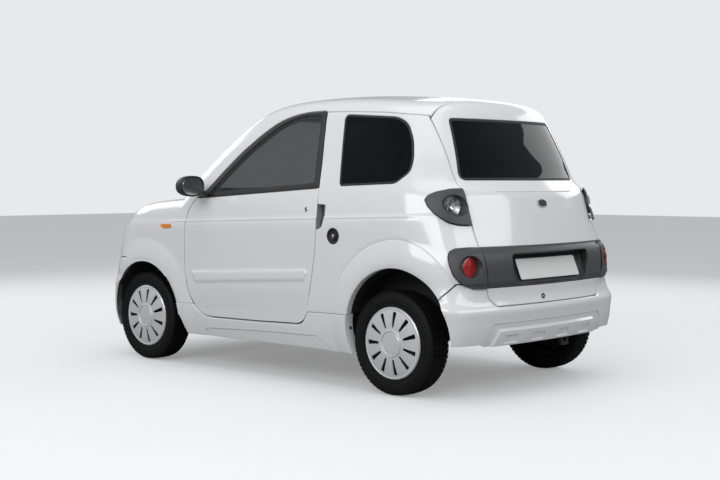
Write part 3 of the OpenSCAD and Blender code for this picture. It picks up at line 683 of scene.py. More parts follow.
plate_finish = filmed("blank plate", (0.78, 0.78, 0.76), (0.4, 0.36, 0.3), 0.3, 1.2, 0.3, 0.08)
amber = moulded("amber lens", (0.85, 0.25, 0.02), 120.0, 0.3, 0.1, 0.3, 0.001, Coat_Weight=0.5)
red_lens = moulded("red lens", (0.42, 0.012, 0.01), 90.0, 0.5, 0.06, 0.35, 0.001, Coat_Weight=0.7,
                   Coat_Roughness=0.03)
print("finishes:", len(bpy.data.materials))

# %% Glass: three tints, and the clear lens


def glass_finish(name, tint, amount, shade=0.9, ior=1.45):
    return filmed(name, tint, (0.3, 0.3, 0.3), amount, 2.2, 0.015, 0.0, Transmission_Weight=shade, IOR=ior)


door_glass_tint = glass_finish("tinted door glass", (0.19, 0.20, 0.205), 0.01)
dark_glass = glass_finish("dark privacy glass", (0.008, 0.0085, 0.009), 0.01, 0.85, 1.3)
clear_lens = glass_finish("clear lens", (0.93, 0.94, 0.95), 0.02, 1.0)
screen_tint = glass_finish("windscreen glass", (0.62, 0.65, 0.65), 0.02)
print("glass finishes: 4")

# %% [markdown]
# ## Body panels
#
# The panels are cut from the skin along the same outlines that their neighbours use, grown or shrunk by
# half the shut gap. Each outline is drawn in the view where the designer would draw it, as corner points
# with a radius each. The real panels are thin plastic mouldings on a frame; where a panel forms a pillar
# it is made as thick as the pillar, so an open door shows a solid edge.

# %% Outlines with a radius at each corner
GAP = 5.0


def outline(points, step=7.0):
    """Corner points (a, b, radius), turned into a smooth loop."""
    out = []
    n = len(points)
    for i in range(n):
        a, b, c = (np.array(points[(i + k) % n][:2], float) for k in (-1, 0, 1))
        radius = points[i][2]
        ra, rc = a - b, c - b
        la, lc = np.linalg.norm(ra), np.linalg.norm(rc)
        half = math.acos(float(np.clip(ra @ rc / (la * lc), -0.9999, 0.9999))) / 2
        cut = min(radius / math.tan(half) if radius > 0 else 0.0, 0.48 * la, 0.48 * lc)
        if cut < 0.5:
            out.append(b[None])
            continue
        s, e = b + ra / la * cut, b + rc / lc * cut
        t = np.linspace(0, 1, 13)[:, None]
        out.append(s * (1 - t) ** 2 + 2 * b * t * (1 - t) + e * t * t)
    return resample(np.vstack(out), step)


DOOR = outline([(586, 1456, 26), (760, 1453, 900), (920, 1415, 900), (1055, 1336, 900), (1190, 1238, 900),
                (1315, 1124, 900), (1425, 1016, 900), (1500, 978, 300), (1556, 908, 120), (1579, 830, 300),
                (1584, 720, 900), (1584, 600, 900), (1570, 470, 300), (1526, 375, 160), (1468, 322, 200),
                (1396, 305, 300), (1000, 310, 900), (660, 320, 60), (622, 338, 60), (590, 385, 200),
                (551, 515, 900), (516, 700, 900), (506, 873, 900), (517, 1043, 900), (535, 1184, 900)])
DOOR_WINDOW = outline([(603, 1438, 24), (752, 1438, 300), (905, 1397, 900), (1036, 1316, 900),
                       (1168, 1219, 900), (1294, 1104, 900), (1398, 1001, 18), (540, 1054, 22),
                       (562, 1184, 900)])
QUARTER_WINDOW = outline([(446, 1436, 30), (70, 1410, 160), (0, 1374, 120), (-52, 1290, 300), (-80, 1190, 300),
                          (-78, 1125, 60), (-8, 1068, 70), (372, 1054, 26)])
SEAM = [(1200, 1600), (1200, 1455), (586, 1450), (430, 1447), (168, 1434), (-243, 1394), (-700, 1350),
        (-700, 1600)]
SEAM_BELOW = [(-700, 0), (-700, 1354), (-243, 1398), (168, 1438), (430, 1450), (586, 1454), (560, 1184),
              (1500, 994), (1800, 994), (1800, 0)]
SILL = [(1800, 366, 0), (1530, 372, 20), (1468, 315, 200), (1396, 298, 300), (1000, 303, 900), (657, 313, 60),
        (619, 331, 60), (583, 382, 8), (570, 388, 8), (150, 396, 0), (150, 100, 0), (1800, 100, 0)]
FLARE_CUT = [(-700, 582, 0), (-371, 582, 0), (-348, 550, 60), (-310, 505, 80), (-150, 400, 60), (-150, 0, 0),
             (-700, 0, 0)]
BUMPER_ABOVE = [(-900, 577, 0), (-374, 577, 0), (-351, 545, 60), (-313, 500, 80), (-150, 395, 60),
                (200, 395, 0), (200, 900, 0), (-900, 900, 0)]
ARCH_TAIL = [(1700, 330, 20), (1656, 300, 200), (1638, 282, 200), (1618, 230, 200), (1602, 199, 100),
             (1590, 120, 20), (1720, 120, 20)]
REAR_LIP, FRONT_LIP = (-40, 312, 335.5, 22), (1965, 290, 308.5, 20)
FRONT_ARCH, REAR_ARCH = circle(*FRONT_LIP[:3], 7), circle(*REAR_LIP[:3], 7)
GATE = outline([(512, 1418, 30), (500, 1600, 10), (-500, 1600, 10), (-512, 1418, 30), (-517, 1085, 900),
                (-524, 1043, 900), (-526, 865, 900), (-519, 748, 900), (-502, 561, 300), (-484, 500, 60),
                (-443, 467, 40), (443, 467, 40), (484, 500, 60), (502, 561, 300), (519, 748, 900),
                (526, 865, 900), (524, 1043, 900), (517, 1085, 900)])
REAR_WINDOW = outline([(432, 1402, 30), (-432, 1402, 30), (-500, 1085, 34), (500, 1085, 34)])
GARNISH = outline([(560, 757, 4), (-560, 757, 4), (-560, 554, 4), (560, 554, 4)])
SCREEN_FACE = outline([(497, 1472, 60), (-497, 1472, 60), (-612, 1024, 30), (-520, 1012, 30), (520, 1012, 30),
                       (612, 1024, 30)])
POD = outline([(470, 1037, 4), (590, 1037, 60), (640, 1029, 40), (668, 1013, 26), (682, 990, 26),
               (682, 956, 40), (669, 911, 60), (635, 876, 50), (590, 864, 60), (470, 861, 4)], 5)
LOW_LAMP = outline([(470, 752, 4), (590, 755, 60), (640, 752, 24), (665, 738, 24), (676, 710, 60),
                    (678, 670, 60), (668, 620, 60), (637, 579, 40), (580, 557, 40), (470, 554, 4)], 5)
HEADLAMP = outline([(392, 790, 20), (392, 742, 20), (430, 706, 40), (500, 690, 60), (590, 700, 60),
                    (660, 744, 50), (692, 810, 50), (692, 876, 16), (640, 884, 60), (540, 862, 60),
                    (450, 826, 60)], 5)
BONNET_PLAN = outline([(1690, 628, 20), (1760, 642, 200), (2000, 640, 900), (2160, 606, 900), (2285, 520, 300),
                       (2330, 400, 200), (2600, 330, 10), (2600, -330, 10), (2330, -400, 200),
                       (2285, -520, 300), (2160, -606, 900), (2000, -640, 900), (1760, -642, 200),
                       (1690, -628, 20), (1730, -560, 200), (1800, -300, 900), (1815, 0, 900), (1800, 300, 900),
                       (1730, 560, 200)])
print("door outline:", len(DOOR), "points; tailgate outline:", len(GATE), "points")

# %% Small helpers for cut lists


def keep_in(view, loop, grow=0.0, **more):
    return Cut(view, offset(np.asarray(loop, float), grow), True, **more)


def keep_out(view, loop, grow=0.0, **more):
    return Cut(view, offset(np.asarray(loop, float), grow), False, **more)


def ring_of(points, step=7.0):
    """A polygon as an evenly stepped loop; a corner without a radius stays sharp."""
    return outline([(tuple(p) + (0,))[:3] for p in points], step)


def oblong(a0, a1, b0, b1, r=0.0, step=7.0):
    return outline([(a0, b0, r), (a1, b0, r), (a1, b1, r), (a0, b1, r)], step)


ARCHES = [keep_out("side", FRONT_ARCH), keep_out("side", ring_of(ARCH_TAIL)), keep_out("side", REAR_ARCH)]
print("cut helpers ready")

# %% Roof, with the windscreen pillars
roof_shape = sheet(ARCH, [
    keep_out("side", DOOR, GAP, both=True),
    keep_out("side", ring_of(SEAM_BELOW), both=True),
    keep_out("screen", SCREEN_FACE),
    keep_out("top", oblong(1600, 1832, -606, 606)),
    keep_in("top", oblong(-85, 1640, -900, 900))],
    (-130, 1660, -760, 760), 26.0, step=17)
roof = piece("roof_skin", roof_shape, paint, "root", "body_paint", "roof")
print("roof:", len(roof.data.polygons), "faces")

# %% [markdown]
# ### Creases, raised strips and recesses
#
# A pressed or moulded panel carries shallow steps: the rub strip along a door, the skirt moulding on the
# rear bumper, the crease low on the door. They could be separate pieces, but they are one moulding on the
# car, so the sheet itself rises or falls by a few millimetres, and extra lines make the triangles follow
# the step.

# %% Raised fields and steps


def depth_inside(loop, q):
    """Distance to the outline for points inside it, and zero outside."""
    out = np.zeros(len(q))
    within = np.nonzero(inside(loop, q))[0]
    if len(within) == 0:
        return out
    a, b = loop, np.roll(loop, -1, 0)
    d = b - a
    best = np.full(len(within), 1e9)
    for i in range(len(a)):
        w = q[within] - a[i]
        t = np.clip(w @ d[i] / max(d[i] @ d[i], 1e-9), 0, 1)
        best = np.minimum(best, np.linalg.norm(w - t[:, None] * d[i], axis=1))
    out[within] = best
    return out


def field(view, loop, height, slope):
    """A raised (or sunk) field inside an outline, with its flank's width."""
    i, j = VIEWS[view][0]
    return lambda p: height * ease(depth_inside(loop, p[:, (i, j)]) / slope)


def field_lines(view, loop, slope, both=False):
    return [(view, loop, both, True), (view, offset(loop, -slope * 0.5), both, True),
            (view, offset(loop, -slope), both, True)]


def together(*reliefs):
    return lambda p: sum(r(p) for r in reliefs)


RUB_STRIP = ring_of([(1523, 548, 12), (1505, 563, 20), (590, 615, 22), (566, 597, 14), (590, 553, 22),
                     (1490, 496, 18)], 6)
DOOR_CREASE = np.array([(1560, 459), (1035, 484), (535, 508)], float)


def lower_door(p):
    """Below its low crease, the door leans in a little more."""
    line = np.interp(p[:, 0], DOOR_CREASE[::-1, 0], DOOR_CREASE[::-1, 1])
    below = np.maximum(line - p[:, 2], 0)
    return -0.07 * below * ease((p[:, 0] - 545) / 30) * ease((1560 - p[:, 0]) / 40)


WAIST_DROP = 10


def waist_groove(p):
    """A fine groove under the crease, from the repeater to the upper lamp."""
    off = np.abs(p[:, 2] - waist_height(p[:, 0]) + WAIST_DROP)
    return -2.2 * np.clip(1.2 - off / 5, 0, 1) * ease((p[:, 0] + 210) / 90) * ease((1700 - p[:, 0]) / 30)


def open_line(view, points, step=8):
    """A line for triangles to follow, from end to end."""
    return (view, resample(np.array(points, float), step, False), False, False)


waist_lines = [open_line("side", [(x, waist_height(x) - WAIST_DROP + d) for x in (-240, 1730)])
               for d in (-6, 0, 6, 13, 20)]
print("rub strip:", len(RUB_STRIP), "points")

# %% Doors: a white skin below the belt line, a black frame round the glass
BELT = np.array([(1620, 975), (1474, 984), (967, 1016), (526, 1044), (480, 1047)], float)
BELOW_BELT = ring_of([tuple(q) for q in BELT] + [(400, 1050), (400, 100), (1750, 100), (1750, 970)])
door_lines = field_lines("side", RUB_STRIP, 8) + [open_line("side", DOOR_CREASE),
                                                  open_line("side", DOOR_CREASE - (0, 4))] + waist_lines
DOOR_AREA = (180, 1310, 290, 1500)
door_shape = sheet(FLANK, [keep_in("side", DOOR), keep_in("side", BELOW_BELT, rings=(0.8, 1.6))], DOOR_AREA,
                   8.0, relief=together(field("side", RUB_STRIP, 4.5, 8), lower_door, waist_groove),
                   lines=door_lines)
frame_shape = sheet(FLANK, [keep_in("side", DOOR), keep_out("side", BELOW_BELT, 0.4, rings=(0.8, 1.6)),
                            keep_out("side", DOOR_WINDOW)], DOOR_AREA, 8.0, step=20, roll=2.2)


def door_depth(p):
    """The door is thick below its window and slim round it."""
    return 62 - 26 * ease((p[:, 2] - 960) / 90) - 8.6


core_shape = sheet(FLANK, [keep_in("side", DOOR, -14), keep_out("side", DOOR_WINDOW)], DOOR_AREA, door_depth,
                   lift=-8.6, roll=1.5, step=24)
BELT_STRIP = ring_of([(q[0], q[1] - 3) for q in BELT[1:4]] + [(540, 1061), (967, 1036), (1440, 1005)], 7)
strip_shape = sheet(FLANK, [keep_in("side", BELT_STRIP, rings=(0.8, 2.0)), keep_in("side", DOOR, -6, rings=())],
                    DOOR_AREA, 9.0, lift=2.4, step=24, roll=2.0)
print("door skin:", len(door_shape[1]), "triangles")

# %% The lining, with an armrest and a pocket
ARMREST = ring_of([(720, 700, 30), (1300, 660, 30), (1310, 600, 30), (730, 640, 30)])
DOOR_POCKET = ring_of([(720, 540, 40), (1380, 500, 40), (1380, 400, 60), (760, 420, 40)])


def lining_depth(p):
    q = p[:, (0, 2)]
    return 6 + 30 * ease(depth_inside(ARMREST, q) / 24) + 22 * ease(depth_inside(DOOR_POCKET, q) / 18)


lining_shape = sheet(FLANK, [keep_in("side", DOOR, -46), keep_in("side", BELOW_BELT, -24)], DOOR_AREA,
                     lining_depth, lift=-62.6, roll=2.0, step=18,
                     lines=field_lines("side", ARMREST, 24) + field_lines("side", DOOR_POCKET, 18))
for hand, _, turn in HANDS:
    body = "door_" + hand
    piece(hand + "_door_skin", turn(door_shape), paint, body, "body_paint", body)
    piece(hand + "_door_window_frame", turn(frame_shape), black_plastic, body, "dark_plastic")
    piece(hand + "_door_core", turn(core_shape), inner_paint, body, "body_paint")
    piece(hand + "_belt_strip", turn(strip_shape), seal_rubber, body, "dark_plastic")
    piece(hand + "_door_lining", turn(lining_shape), cabin_plastic, body, "cabin_plastic")
print("lining:", len(lining_shape[1]), "triangles")

# %% Quarters, sills and wings
HANDLE = ring_of([(530, 962, 6), (447, 958, 10), (447, 895, 60), (464, 842, 16), (492, 826, 10), (530, 826, 4)],
                 5)
CAP_AT = (380, 796)
SILL_FIELD = ring_of([(1448, 100, 0), (1446, 214, 14), (1425, 236, 14), (972, 255, 300), (531, 264, 30),
                      (430, 205, 14), (400, 100, 0)], 6)
quarter_cuts = [
    keep_out("side", DOOR, GAP), keep_out("side", QUARTER_WINDOW), keep_out("side", ring_of(SEAM)),
    keep_out("side", ring_of(SILL)), keep_out("side", ring_of(FLARE_CUT)), keep_out("side", HANDLE),
    keep_out("side", REAR_ARCH), keep_out("tail", GATE, GAP), keep_out("tail", POD, 1.5),
    keep_out("tail", LOW_LAMP, 1.5)]
QUARTER_AREA = (-740, 330, 370, 1470)


def arch_lip(p):
    """A narrow sloping lip round each wheel arch."""
    return sum(-5 * (1 - ease((np.hypot(p[:, 0] - x, p[:, 2] - z) - r) / width))
               for x, z, r, width in (REAR_LIP, FRONT_LIP))


lip_lines = [("side", circle(x, z, r + part * width, 8), False, True)
             for x, z, r, width in (REAR_LIP, FRONT_LIP) for part in (1, 0.5)]
# The groove over the rear flare: degrees round the flare's centre from the tail, and radius.
FLARE_LINE = [(36, 392), (46, 409), (56, 423), (70, 439), (90, 446), (166, 448)]


def fine_groove(off):
    """The section of a narrow groove, at a distance off its line."""
    return -4.0 * np.clip(1.15 - np.abs(off) / 3, 0, 1)


def flare_groove(p):
    """A fine groove from the lower lamp over the rear flare, fading out ahead of the wheel."""
    x, z = p[:, 0] - REAR_FLARE[0], p[:, 2] - REAR_FLARE[1]
    turn = np.degrees(np.arctan2(z, -x))
    return fine_groove(np.hypot(x, z) - np.interp(turn, *np.transpose(FLARE_LINE))) * ease((164 - turn) / 24)


def flare_arc(wider):
    """The groove's line, drawn that much wider."""
    turn = np.arange(36, 166, 1.5)
    r = np.interp(turn, *np.transpose(FLARE_LINE)) + wider
    return np.column_stack([REAR_FLARE[0] - r * np.cos(np.radians(turn)),
                            REAR_FLARE[1] + r * np.sin(np.radians(turn))])


flare_lines = [("side", flare_arc(d), False, False) for d in (-3.5, 0, 3.5)]
filler_hole = keep_out("side", circle(*CAP_AT, 42, 4))
quarter_relief = together(arch_lip, flare_groove, waist_groove)
quarter_lines = lip_lines + flare_lines + waist_lines
# Only the left quarter has the filler hole.
quarter_shapes = [
    sheet(FLANK, quarter_cuts + more, QUARTER_AREA, 42.0, relief=quarter_relief, lines=quarter_lines)
    for more in ([filler_hole], [])]
sill_shape = sheet(FLANK, [keep_in("side", ring_of(SILL), -GAP / 2), ARCHES[0], ARCHES[1], ARCHES[2],
                           keep_in("side", oblong(238, 1775, 187, 480))],
                   (-60, 1500, 150, 440), 58.0, relief=field("side", SILL_FIELD, -5.0, 6),
                   lines=field_lines("side", SILL_FIELD, 6))
wing_shape = sheet(FLANK, [
    keep_out("side", DOOR, GAP),
    keep_out("side", ring_of([(1200, 100), (1200, 375), (1530, 370), (1800, 364), (1800, 100)])),
    keep_out("side", ring_of([(2140, 617, 4), (2700, 617), (2700, 100), (2140, 100)])),
    keep_out("top", BONNET_PLAN, GAP / 2), keep_out("nose", HEADLAMP, 4),
    keep_out("nose", oblong(-560, 560, 0, 1200)), keep_out("top", oblong(1598, 1834, -608, 608)),
    ARCHES[0], ARCHES[1]], (1180, 2160, 340, 1010), 6.0,
    relief=together(arch_lip, waist_groove), lines=lip_lines + waist_lines)
for (hand, _, turn), quarter_shape in zip(HANDS, quarter_shapes):
    piece(hand + "_quarter_panel", turn(quarter_shape), paint, "root", "body_paint", "quarter_" + hand)
    piece(hand + "_sill_panel", turn(sill_shape), paint, "root", "body_paint", "sill_" + hand)
    piece(hand + "_wing_panel", turn(wing_shape), paint, "root", "body_paint", "wing_" + hand)
print("quarter:", len(quarter_shape[1]), "triangles; wing:", len(wing_shape[1]))

# %% Bonnet, scuttle and bumpers
bonnet_shape = sheet(BONNET_FAN, [keep_in("top", BONNET_PLAN, -GAP / 2),
                                  keep_out("nose", oblong(-900, 900, 0, 771))],
                     (-690, 690, -60, 800), 16.0)
piece("bonnet_skin", bonnet_shape, paint, "bonnet", "body_paint", "bonnet")
cowl_shape = sheet(ARCH, [keep_in("top", oblong(1602, 1830, -604, 604)), keep_out("screen", SCREEN_FACE, 2),
                          keep_out("top", BONNET_PLAN, 2 * GAP)], (1580, 1850, -700, 700), 8.0, roll=1.5)
piece("scuttle_panel", cowl_shape, black_plastic, "root", "dark_plastic", "cowl")

GRILLE_TOP = oblong(-250, 250, 655, 715, 18)
GRILLE_LOW = oblong(-330, 330, 262, 420, 30)
FOG = [circle(s * 520, 340, 52) for s in (1, -1)]
front_cuts = [
    keep_out("nose", oblong(555, 900, 612, 1100)),
    keep_out("nose", oblong(-900, -555, 612, 1100)), keep_in("nose", oblong(-900, 900, 186, 766)),
    keep_out("nose", HEADLAMP, 4), keep_out("nose", HEADLAMP * (-1, 1), 4), keep_out("nose", GRILLE_TOP, 2),
    keep_out("nose", GRILLE_LOW, 2), keep_out("nose", FOG[0], 2), keep_out("nose", FOG[1], 2),
    keep_out("nose", circle(395, 238, 25)), keep_out("side", FRONT_ARCH, both=True),
    keep_out("top", oblong(1700, 2145, -900, 900))]
front_shape = sheet(NOSE_FAN, front_cuts, (-960, 960, 170, 780), 6.0)
piece("front_bumper_skin", front_shape, paint, "root", "body_paint", "front_bumper")

SKIRT_OUTER = ring_of([(530, 200), (497, 345, 14), (470, 379, 14), (-470, 379, 14), (-497, 345, 14),
                       (-530, 200)], 6)
SKIRT_INNER = ring_of([(497, 200), (425, 350, 10), (-425, 350, 10), (-497, 200)], 6)
SLOTS = [oblong(c - 52, c + 52, 275, 317, 5, 5) for c in (328, 110, -108, -326)]
skirt = [field("tail", SKIRT_OUTER, -6.5, 5), field("tail", SKIRT_INNER, 12.0, 12)]
skirt += [field("tail", s, -8.0, 4) for s in SLOTS]
skirt_lines = field_lines("tail", SKIRT_OUTER, 5) + field_lines("tail", SKIRT_INNER, 12)
for s in SLOTS:
    skirt_lines += field_lines("tail", s, 4)


def bumper_bottom(y):
    """The lower edge rises a little outside the skirt moulding."""
    return 264 + 14 * ease((np.abs(y) - 500) / 40)


LOWER_EDGE = np.array([(y, float(bumper_bottom(y))) for y in range(-760, 761, 8)] + [(760, 100), (-760, 100)],
                      float)
rear_cuts = [
    keep_out("tail", GATE, GAP), keep_out("tail", LOW_LAMP, 1.5), keep_out("tail", LOW_LAMP * (-1, 1), 1.5),
    keep_out("side", ring_of(BUMPER_ABOVE), both=True), keep_out("side", REAR_ARCH, both=True),
    keep_out("tail", LOWER_EDGE)]
rear_shape = sheet(TAIL_FAN, rear_cuts, (-760, 760, 240, 620), 6.0, relief=together(arch_lip, *skirt),
                   lines=skirt_lines + [(v, l, True, c) for v, l, _, c in lip_lines[:2]], step=13)
piece("rear_bumper_skin", rear_shape, paint, "root", "body_paint", "rear_bumper")
print("bumpers:", len(front_shape[1]), "and", len(rear_shape[1]), "triangles")

# %% Tailgate
GATE_CREASE = 1026


def gate_groove(p):
    """A fine groove under the window that fades out towards both sides."""
    return fine_groove(p[:, 2] - GATE_CREASE) * ease((400 - np.abs(p[:, 1])) / 120)


gate_shape = sheet(GATE_FAN, [
    keep_in("tail", GATE), keep_out("tail", REAR_WINDOW), keep_out("tail", GARNISH),
    keep_out("top", oblong(-90, 400, -900, 900))], (-600, 600, -1460, -200), 36.0, step=16, relief=gate_groove,
    lines=[open_line("tail", [(-400, GATE_CREASE + d), (400, GATE_CREASE + d)], 10) for d in (-3.5, 0, 3.5)])
piece("tailgate_skin", gate_shape, paint, "tailgate", "body_paint", "tailgate")
print("tailgate:", len(gate_shape[1]), "triangles")

# %% [markdown]
# ## Glass
#
# The side and rear panes are flush with the body, behind a thin black printed border and a rubber lip.
# Each pane is a sheet cut along the same outline as its opening, and its border is a second, very thin
# sheet just proud of it. The rear panes are privacy glass, almost black; the door glass is clearer.

# %% Panes and their black borders


def glazing(surface, view, loop, window, lift=-3.0, border=12.0, gap=2.0):
    """A pane and the border on it, cut along the outline of its opening."""
    edge = keep_in(view, loop, -gap, rings=(0.8, 2.0))
    hole = keep_out(view, loop, -gap - border, rings=(1.0,))
    return (sheet(surface, [edge], window, 4.0, lift=lift, roll=1.0, step=26),
            sheet(surface, [edge, hole], window, 1.2, lift=lift + 0.9, roll=0.8, step=30))


def pane(names, shapes, tint, body, *nodes):
    piece(names[0], shapes[0], tint, body, "window_glass", *nodes)
    piece(names[1], shapes[1], seal_rubber, body, "dark_plastic")


door_glazing = glazing(FLANK, "side", DOOR_WINDOW, (190, 1180, 960, 1480), -9.0, 20, 1.0)
rear_glazing = glazing(GATE_FAN, "tail", REAR_WINDOW, (-560, 560, -1000, -200))
screen_glazing = glazing(ARCH, "screen", SCREEN_FACE, (1040, 1800, -760, 760), border=30)
quarter_glazing = glazing(FLANK, "side", QUARTER_WINDOW, (-460, 200, 1000, 1480), border=10)
for hand, _, turn in HANDS:
    pane((hand + "_door_pane", hand + "_door_border"), [turn(s) for s in door_glazing], door_glass_tint,
         "door_" + hand, "door_glass_" + hand)
pane(("rear_window_pane", "rear_window_border"), rear_glazing, dark_glass, "tailgate", "tailgate_glass")
pane(("windscreen_pane", "windscreen_border"), screen_glazing, screen_tint, "root", "windscreen")
pane(("quarter_panes", "quarter_borders"), [pair(s) for s in quarter_glazing], dark_glass, "root",
     "quarter_glass")
print("panes done")

# %% [markdown]
# ## Lamps and the grey moulding across the tail
#
# The rear lamps are small round units that look straight back out of dark housings which wrap round the
# corners. Each housing is a sheet with a round hole, a bore runs straight forward from the hole's edge,
# and the lamp stands on the floor of the bore: a lens in front of a dished reflector with a bulb in it.

# %% Lofted rings and turned shapes


def squarish(wave, size, power):
    """A sine or cosine drawn out towards its ends: a small power gives a section with square shoulders."""
    return size * np.sign(wave) * np.abs(wave) ** power


def loft(rings, close_start=True, close_end=True):
    """A closed skin through rings that have the same number of points."""
    n = len(rings[0])
    points = [np.asarray(r, float) for r in rings]
    faces = []
    for k in range(len(rings) - 1):
        for i in range(n):
            j = (i + 1) % n
            a, b, c, d = k * n + i, k * n + j, (k + 1) * n + j, (k + 1) * n + i
            faces += [(a, b, c), (a, c, d)]
    total = len(rings) * n
    if close_start:
        points.append(points[0].mean(0)[None])
        faces += [((i + 1) % n, i, total) for i in range(n)]
        total += 1
    if close_end:
        points.append(np.asarray(rings[-1], float).mean(0)[None])
        base = (len(rings) - 1) * n
        faces += [(base + i, base + (i + 1) % n, total) for i in range(n)]
    p, f = np.vstack(points), np.array(faces)
    t = p[f]
    volume = np.einsum("ij,ij->i", t[:, 0], np.cross(t[:, 1], t[:, 2])).sum()
    return (p, f) if volume > 0 else (p, f[:, ::-1])


def turned(profile, centre, axis, count=48, closed=False):
    """Turns (radius, height) points round an axis. A closed profile makes a ring."""
    axis = np.array(axis, float) / np.linalg.norm(axis)
    side_way = np.cross(axis, (0, 0, 1.0)) if abs(axis[2]) < 0.9 else np.cross(axis, (0, 1.0, 0))
    side_way /= np.linalg.norm(side_way)
    up_way = np.cross(axis, side_way)
    a = around(count)
    circle_way = np.cos(a)[:, None] * side_way + np.sin(a)[:, None] * up_way
    rings = [np.asarray(centre, float) + r * circle_way + h * axis for r, h in profile]
    if closed:
        rings.append(rings[0])
        return loft(rings, False, False)
    return loft(rings)


def soften(profile, radius=1.0, steps=3):
    """Rounds the corners of an open (radius, height) profile."""
    p = np.asarray(profile, float)
    out = [p[0]]
    for a, b, c in zip(p[:-2], p[1:-1], p[2:]):
        la, lc = np.linalg.norm(a - b), np.linalg.norm(c - b)
        cut = min(radius, 0.4 * la, 0.4 * lc)
        s, e = b + (a - b) / max(la, 1e-9) * cut, b + (c - b) / max(lc, 1e-9) * cut
        for t in np.linspace(0, 1, steps + 1):
            out.append(s * (1 - t) ** 2 + 2 * b * t * (1 - t) + e * t * t)
    out.append(p[-1])
    return np.array(out)


print("loft and turned are ready")

# %% Housings with their bores


def pod_lift(p):
    return 3 + 13 * ease((-190 - p[:, 0]) / 110)


def low_lift(p):
    return 5 + 14 * ease((-335 - p[:, 0]) / 50)


def ledge(p):
    """The sloping top and bottom edges of the grey band."""
    return -0.75 * np.maximum(p[:, 2] - 731, 0) - 0.55 * np.maximum(578 - p[:, 2], 0)


def housing(loop, lift, lamp, radius, floor_x, relief=None, lines=()):
    """A lamp housing and the bore for its round lamp, on the left side."""
    y, z = lamp
    hole = circle(y, z, radius, 4)
    cuts = [keep_in("tail", loop), keep_out("tail", GATE, GAP + 2),
            keep_out("tail", hole, rings=(0.8, 1.8, 3.0))]
    skin = sheet(FLANK, cuts, (-760, -230, 520, 1080), 5.0, lift=lift, relief=relief, lines=lines, step=11,
                 roll=2.4)
    mouth, _ = wrapped("tail", hole)
    mouth_n = normals(mouth)
    raised = lift(mouth) + (relief(mouth) if relief else 0)
    edge_x = mouth[:, 0] - raised / np.maximum(-mouth_n[:, 0], 0.3) + 3.5
    edge_x = np.minimum(edge_x, floor_x - 1.0)

    def ring(x, r):
        out = offset(hole, r)
        return np.stack([np.broadcast_to(x, (len(hole),)), out[:, 0], out[:, 1]], 1)
    bore = loft([ring(edge_x, 0.3), ring(edge_x + 2, -0.7), ring(floor_x, -1.5), ring(floor_x + 24, -1.5),
                 ring(floor_x + 24, 2.5), ring(edge_x + 4, 2.5), ring(edge_x, 0.3)], False, False)
    return joined(skin, bore)


UP_LAMP, LOW_LAMP_AT, LAMP_R = (586, 957), (590, 660), 52
ledge_lines = [("tail", np.array([(-760.0 + 8 * i, h) for i in range(190)]), False, False)
               for h in (731, 733, 578, 576)]
upper_pod = housing(POD, pod_lift, UP_LAMP, LAMP_R, -294)
lower_pod = housing(LOW_LAMP, low_lift, LOW_LAMP_AT, LAMP_R, -400, ledge, ledge_lines)
piece("upper_lamp_housings", pair(upper_pod), grey_plastic_and_recess_shade, "root", "lamp_housing", "upper_tail_lamps")
piece("lower_lamp_housings", pair(lower_pod), grey_plastic_and_recess_shade, "root", "lamp_housing", "lower_tail_lamps")
print("housings:", len(upper_pod[1]) + len(lower_pod[1]), "triangles a side")

# %% Round lamps: reflector, bulb and lens


def round_lamp(y, z, x, r):
    """Reflector, bulb and lens of a round lamp that looks back along the car."""
    centre, back = (x, y, z), (-1, 0, 0)
    dish = turned(soften([(0, -26), (9, -26), (20, -22), (34, -10), (r - 3, 1), (r - 1.5, 2), (r - 1.5, -2),
                          (36, -14), (20, -27), (0, -30)], 1.5), centre, back, 44)
    bulb = turned([(0, -25.5), (7, -25), (7.5, -18), (10, -12), (9, -5), (5, -1), (0, 0)], centre, back, 24)
    lens = turned(soften([(0, 8), (14, 7.6), (30, 6), (r - 5, 4), (r - 2, 2.4), (r - 2, 1), (r - 5, 2.2),
                          (30, 4.4), (14, 6.2), (0, 6.4)], 1.0), centre, back, 44)
    return dish, bulb, lens


for hand, s, _ in HANDS:
    for label, (y, z), x, tint in (("upper", UP_LAMP, -294, clear_lens),
                                   ("lower", LOW_LAMP_AT, -400, red_lens)):
        dish, bulb, lens = round_lamp(y * s, z, x, LAMP_R)
        piece(f"{hand}_{label}_reflector", dish, bright_metal, "root", "lamp_housing")
        piece(f"{hand}_{label}_bulb", bulb, clear_lens, "root", "lamp_housing")
        reversing = (hand, label) == ("right", "lower")
        piece(f"{hand}_{label}_lens", lens, clear_lens if reversing else tint, "root", "lamp_housing")
        if reversing:
            red_ring = turned([(30, 7.2), (47, 5.3), (47, 4.3), (30, 6.2)], (x, y * s, z), (-1, 0, 0), 44, True)
            piece("reversing_lamp_ring", red_ring, red_lens, "root", "lamp_housing")
print("four round lamps")

# %% The grey moulding and its plate pocket
PLATE_POCKET = ring_of([(337, 716, 30), (-337, 716, 30), (-337, 650, 60), (-312, 562, 34), (312, 562, 34),
                        (337, 650, 60)], 7)


def back_rays(u, v):
    return np.stack([0 * u + 200, u, v], 1), np.tile((-1.0, 0, 0), (len(u), 1))


BACK = (back_rays, lambda p: np.stack([p[:, 1], p[:, 2]], 1))
garnish_shape = sheet(BACK, [keep_in("tail", GARNISH, -0.5), keep_in("tail", GATE),
                             keep_out("tail", PLATE_POCKET)],
                      (-600, 600, 540, 770), 14.0, lift=12.0, relief=ledge, lines=ledge_lines, step=16,
                      roll=2.4)
rim = reach(*back_rays(*PLATE_POCKET.T))
rim_x = rim[:, 0] - 12 + 2.0 - ledge(rim)


POCKET_LEAN, POCKET_RISE, POCKET_BOTTOM = 62, 148, 574


def pocket_floor(z):
    """The floor leans: it is deeper at its top."""
    return -468 + (z - POCKET_BOTTOM) * POCKET_LEAN / POCKET_RISE


